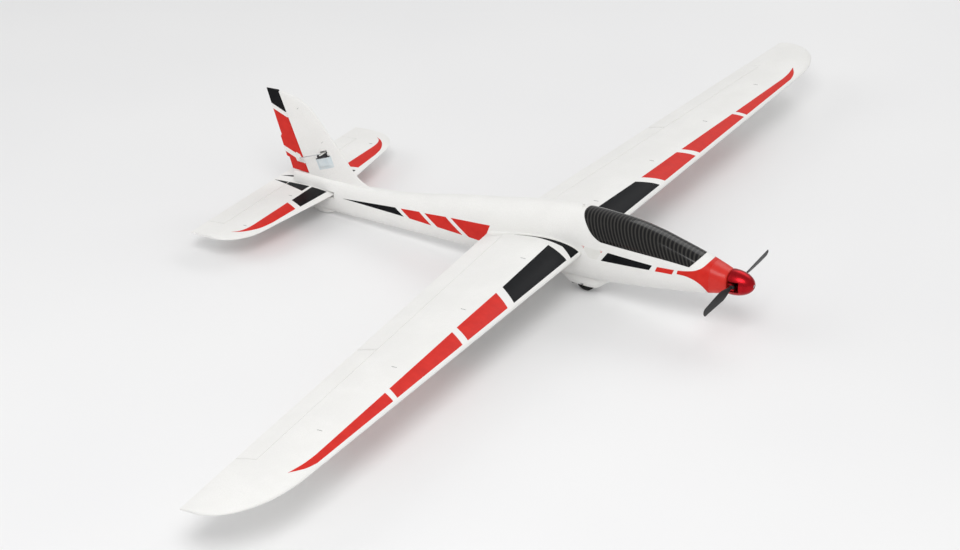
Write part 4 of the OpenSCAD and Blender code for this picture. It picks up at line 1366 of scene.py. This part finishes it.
def spinner():
    r, start, length = 23.5, 361.6, 40.4
    place = LEVEL @ move(start, 0, SHAFT_Z) @ turn(90, "Y")
    turns = [math.radians(a) for a in range(0, 91, 3)]
    outer = [(r * math.cos(a), length * math.sin(a) ** 0.93) for a in turns]
    inner = [(max(0.05, x - 1.4), z - 1.6) for x, z in outer]
    cone = lathe("spinner_cone", outer[:-1] + [(0.05, length)], place, 96)
    hollow = lathe("hollow", [(inner[0][0], -1)] + inner[:-1] + [(0.05, length - 1.6)], place, 96)
    notch = [(358.6, 10), (378.6, 10), (384.6, 60), (358.6, 60)]
    cutters = [hollow, prism("bore", circle(1.5, 32), -5, 60, place),
               prism("seat", circle(3.4, 48), 37.4, 50, place)]
    for side in (-1, 1):
        cutters.append(prism("notch", notch, SHAFT_Z - 10, SHAFT_Z + 10, PORT[side]))
    combine(cone, "DIFFERENCE", *cutters)
    piece(finish_mesh(cone), ANODISED, "propeller", "spinner")


fuselage()
nose()
canopy()
for wing_side in SIDES:
    wing(wing_side)
tailplane()
rudder()
tail_horn_bases()
servo_tape()
servos()
wheel()
blade(1, "prop_blade_black_1", "prop_blade_1")
blade(-1, "prop_blade_black_2", "prop_blade_2")
spinner()

CAD_LOOKS = {
    ALUMINIUM: ["motor_mount"],
    STEEL: ["motor_stator", "wheel_axle", "tailplane_screw", "blade_pins", "spinner_screw",
            "fuselage_magnets", "canopy_magnets", "rudder_rod", "elevator_rod"],
    MOTOR: ["motor_rotor"],
    SHRINK: ["speed_controller"],
    WOOD: ["battery_tray"],
    BOARD: ["wing_sockets"],
    CARBON: ["spar_tube"],
    ANODISED: ["prop_hub"],
    BLACK_PLASTIC: ["wheel_bracket", "wheel_hub"],
    WHITE_PLASTIC: ["rudder_horn", "elevator_horn", "rudder_arm", "elevator_arm"],
}
for side_word in SIDES.values():
    CAD_LOOKS[STEEL] += [f"{what}_rod_{side_word}" for what in SURFACES]
    CAD_LOOKS[WHITE_PLASTIC] += [
        f"{what}_{side_word}" for what in ("wing_root_plate", "wing_rib", "flap_horn", "flap_arm",
                                           "aileron_horn", "aileron_arm")]
for look, names in CAD_LOOKS.items():
    for cad_name in names:
        dress(frame["nodes"][cad_name], look)


# ---------------------------------------------------------------- stage, light and camera

def area_light(name, place, target, energy, size):
    data = bpy.data.lights.new(name, "AREA")
    data.energy, data.shape, data.size, data.size_y = energy, "RECTANGLE", size[0], size[1]
    lamp = new_object(name, data)
    lamp.location = place
    lamp.rotation_euler = (Vector(target) - Vector(place)).to_track_quat("-Z", "Y").to_euler()


def stage():
    floor = prism("floor", [(-14, -14), (14, -14), (14, 14), (-14, 14)], -0.02, 0,
                  Matrix.Identity(4))
    dress(floor, floor_material())
    area_light("key_light", (1.2, -2.2, 3.2), (0, 0, 0.1), 62, (1.8, 1.8))
    area_light("fill_light", (-2.8, -1.6, 2.4), (0, 0, 0.1), 20, (2.2, 2.2))
    area_light("rim_light", (0.4, 2.8, 2.6), (0, 0, 0.1), 26, (3.0, 1.6))
    world = bpy.data.worlds.new("studio")
    world.use_nodes = True
    world.node_tree.nodes["Background"].inputs["Color"].default_value = (1, 1, 1, 1)
    world.node_tree.nodes["Background"].inputs["Strength"].default_value = 0.56
    bpy.context.scene.world = world
    bpy.context.scene.view_settings.view_transform = "Standard"


def camera():
    data = bpy.data.cameras.new("camera")
    data.lens = 85
    data.clip_end = 60
    cam = new_object("camera", data)
    azimuth, elevation, distance = math.radians(32), math.radians(29), 4.25
    target = Vector((-0.016, -0.051, -0.004))
    level = math.cos(elevation)
    away = Vector((math.sin(azimuth) * level, -math.cos(azimuth) * level, math.sin(elevation)))
    cam.location = target + away * distance
    cam.rotation_euler = (-away).to_track_quat("-Z", "Y").to_euler()
    bpy.context.scene.camera = cam


stage()
camera()
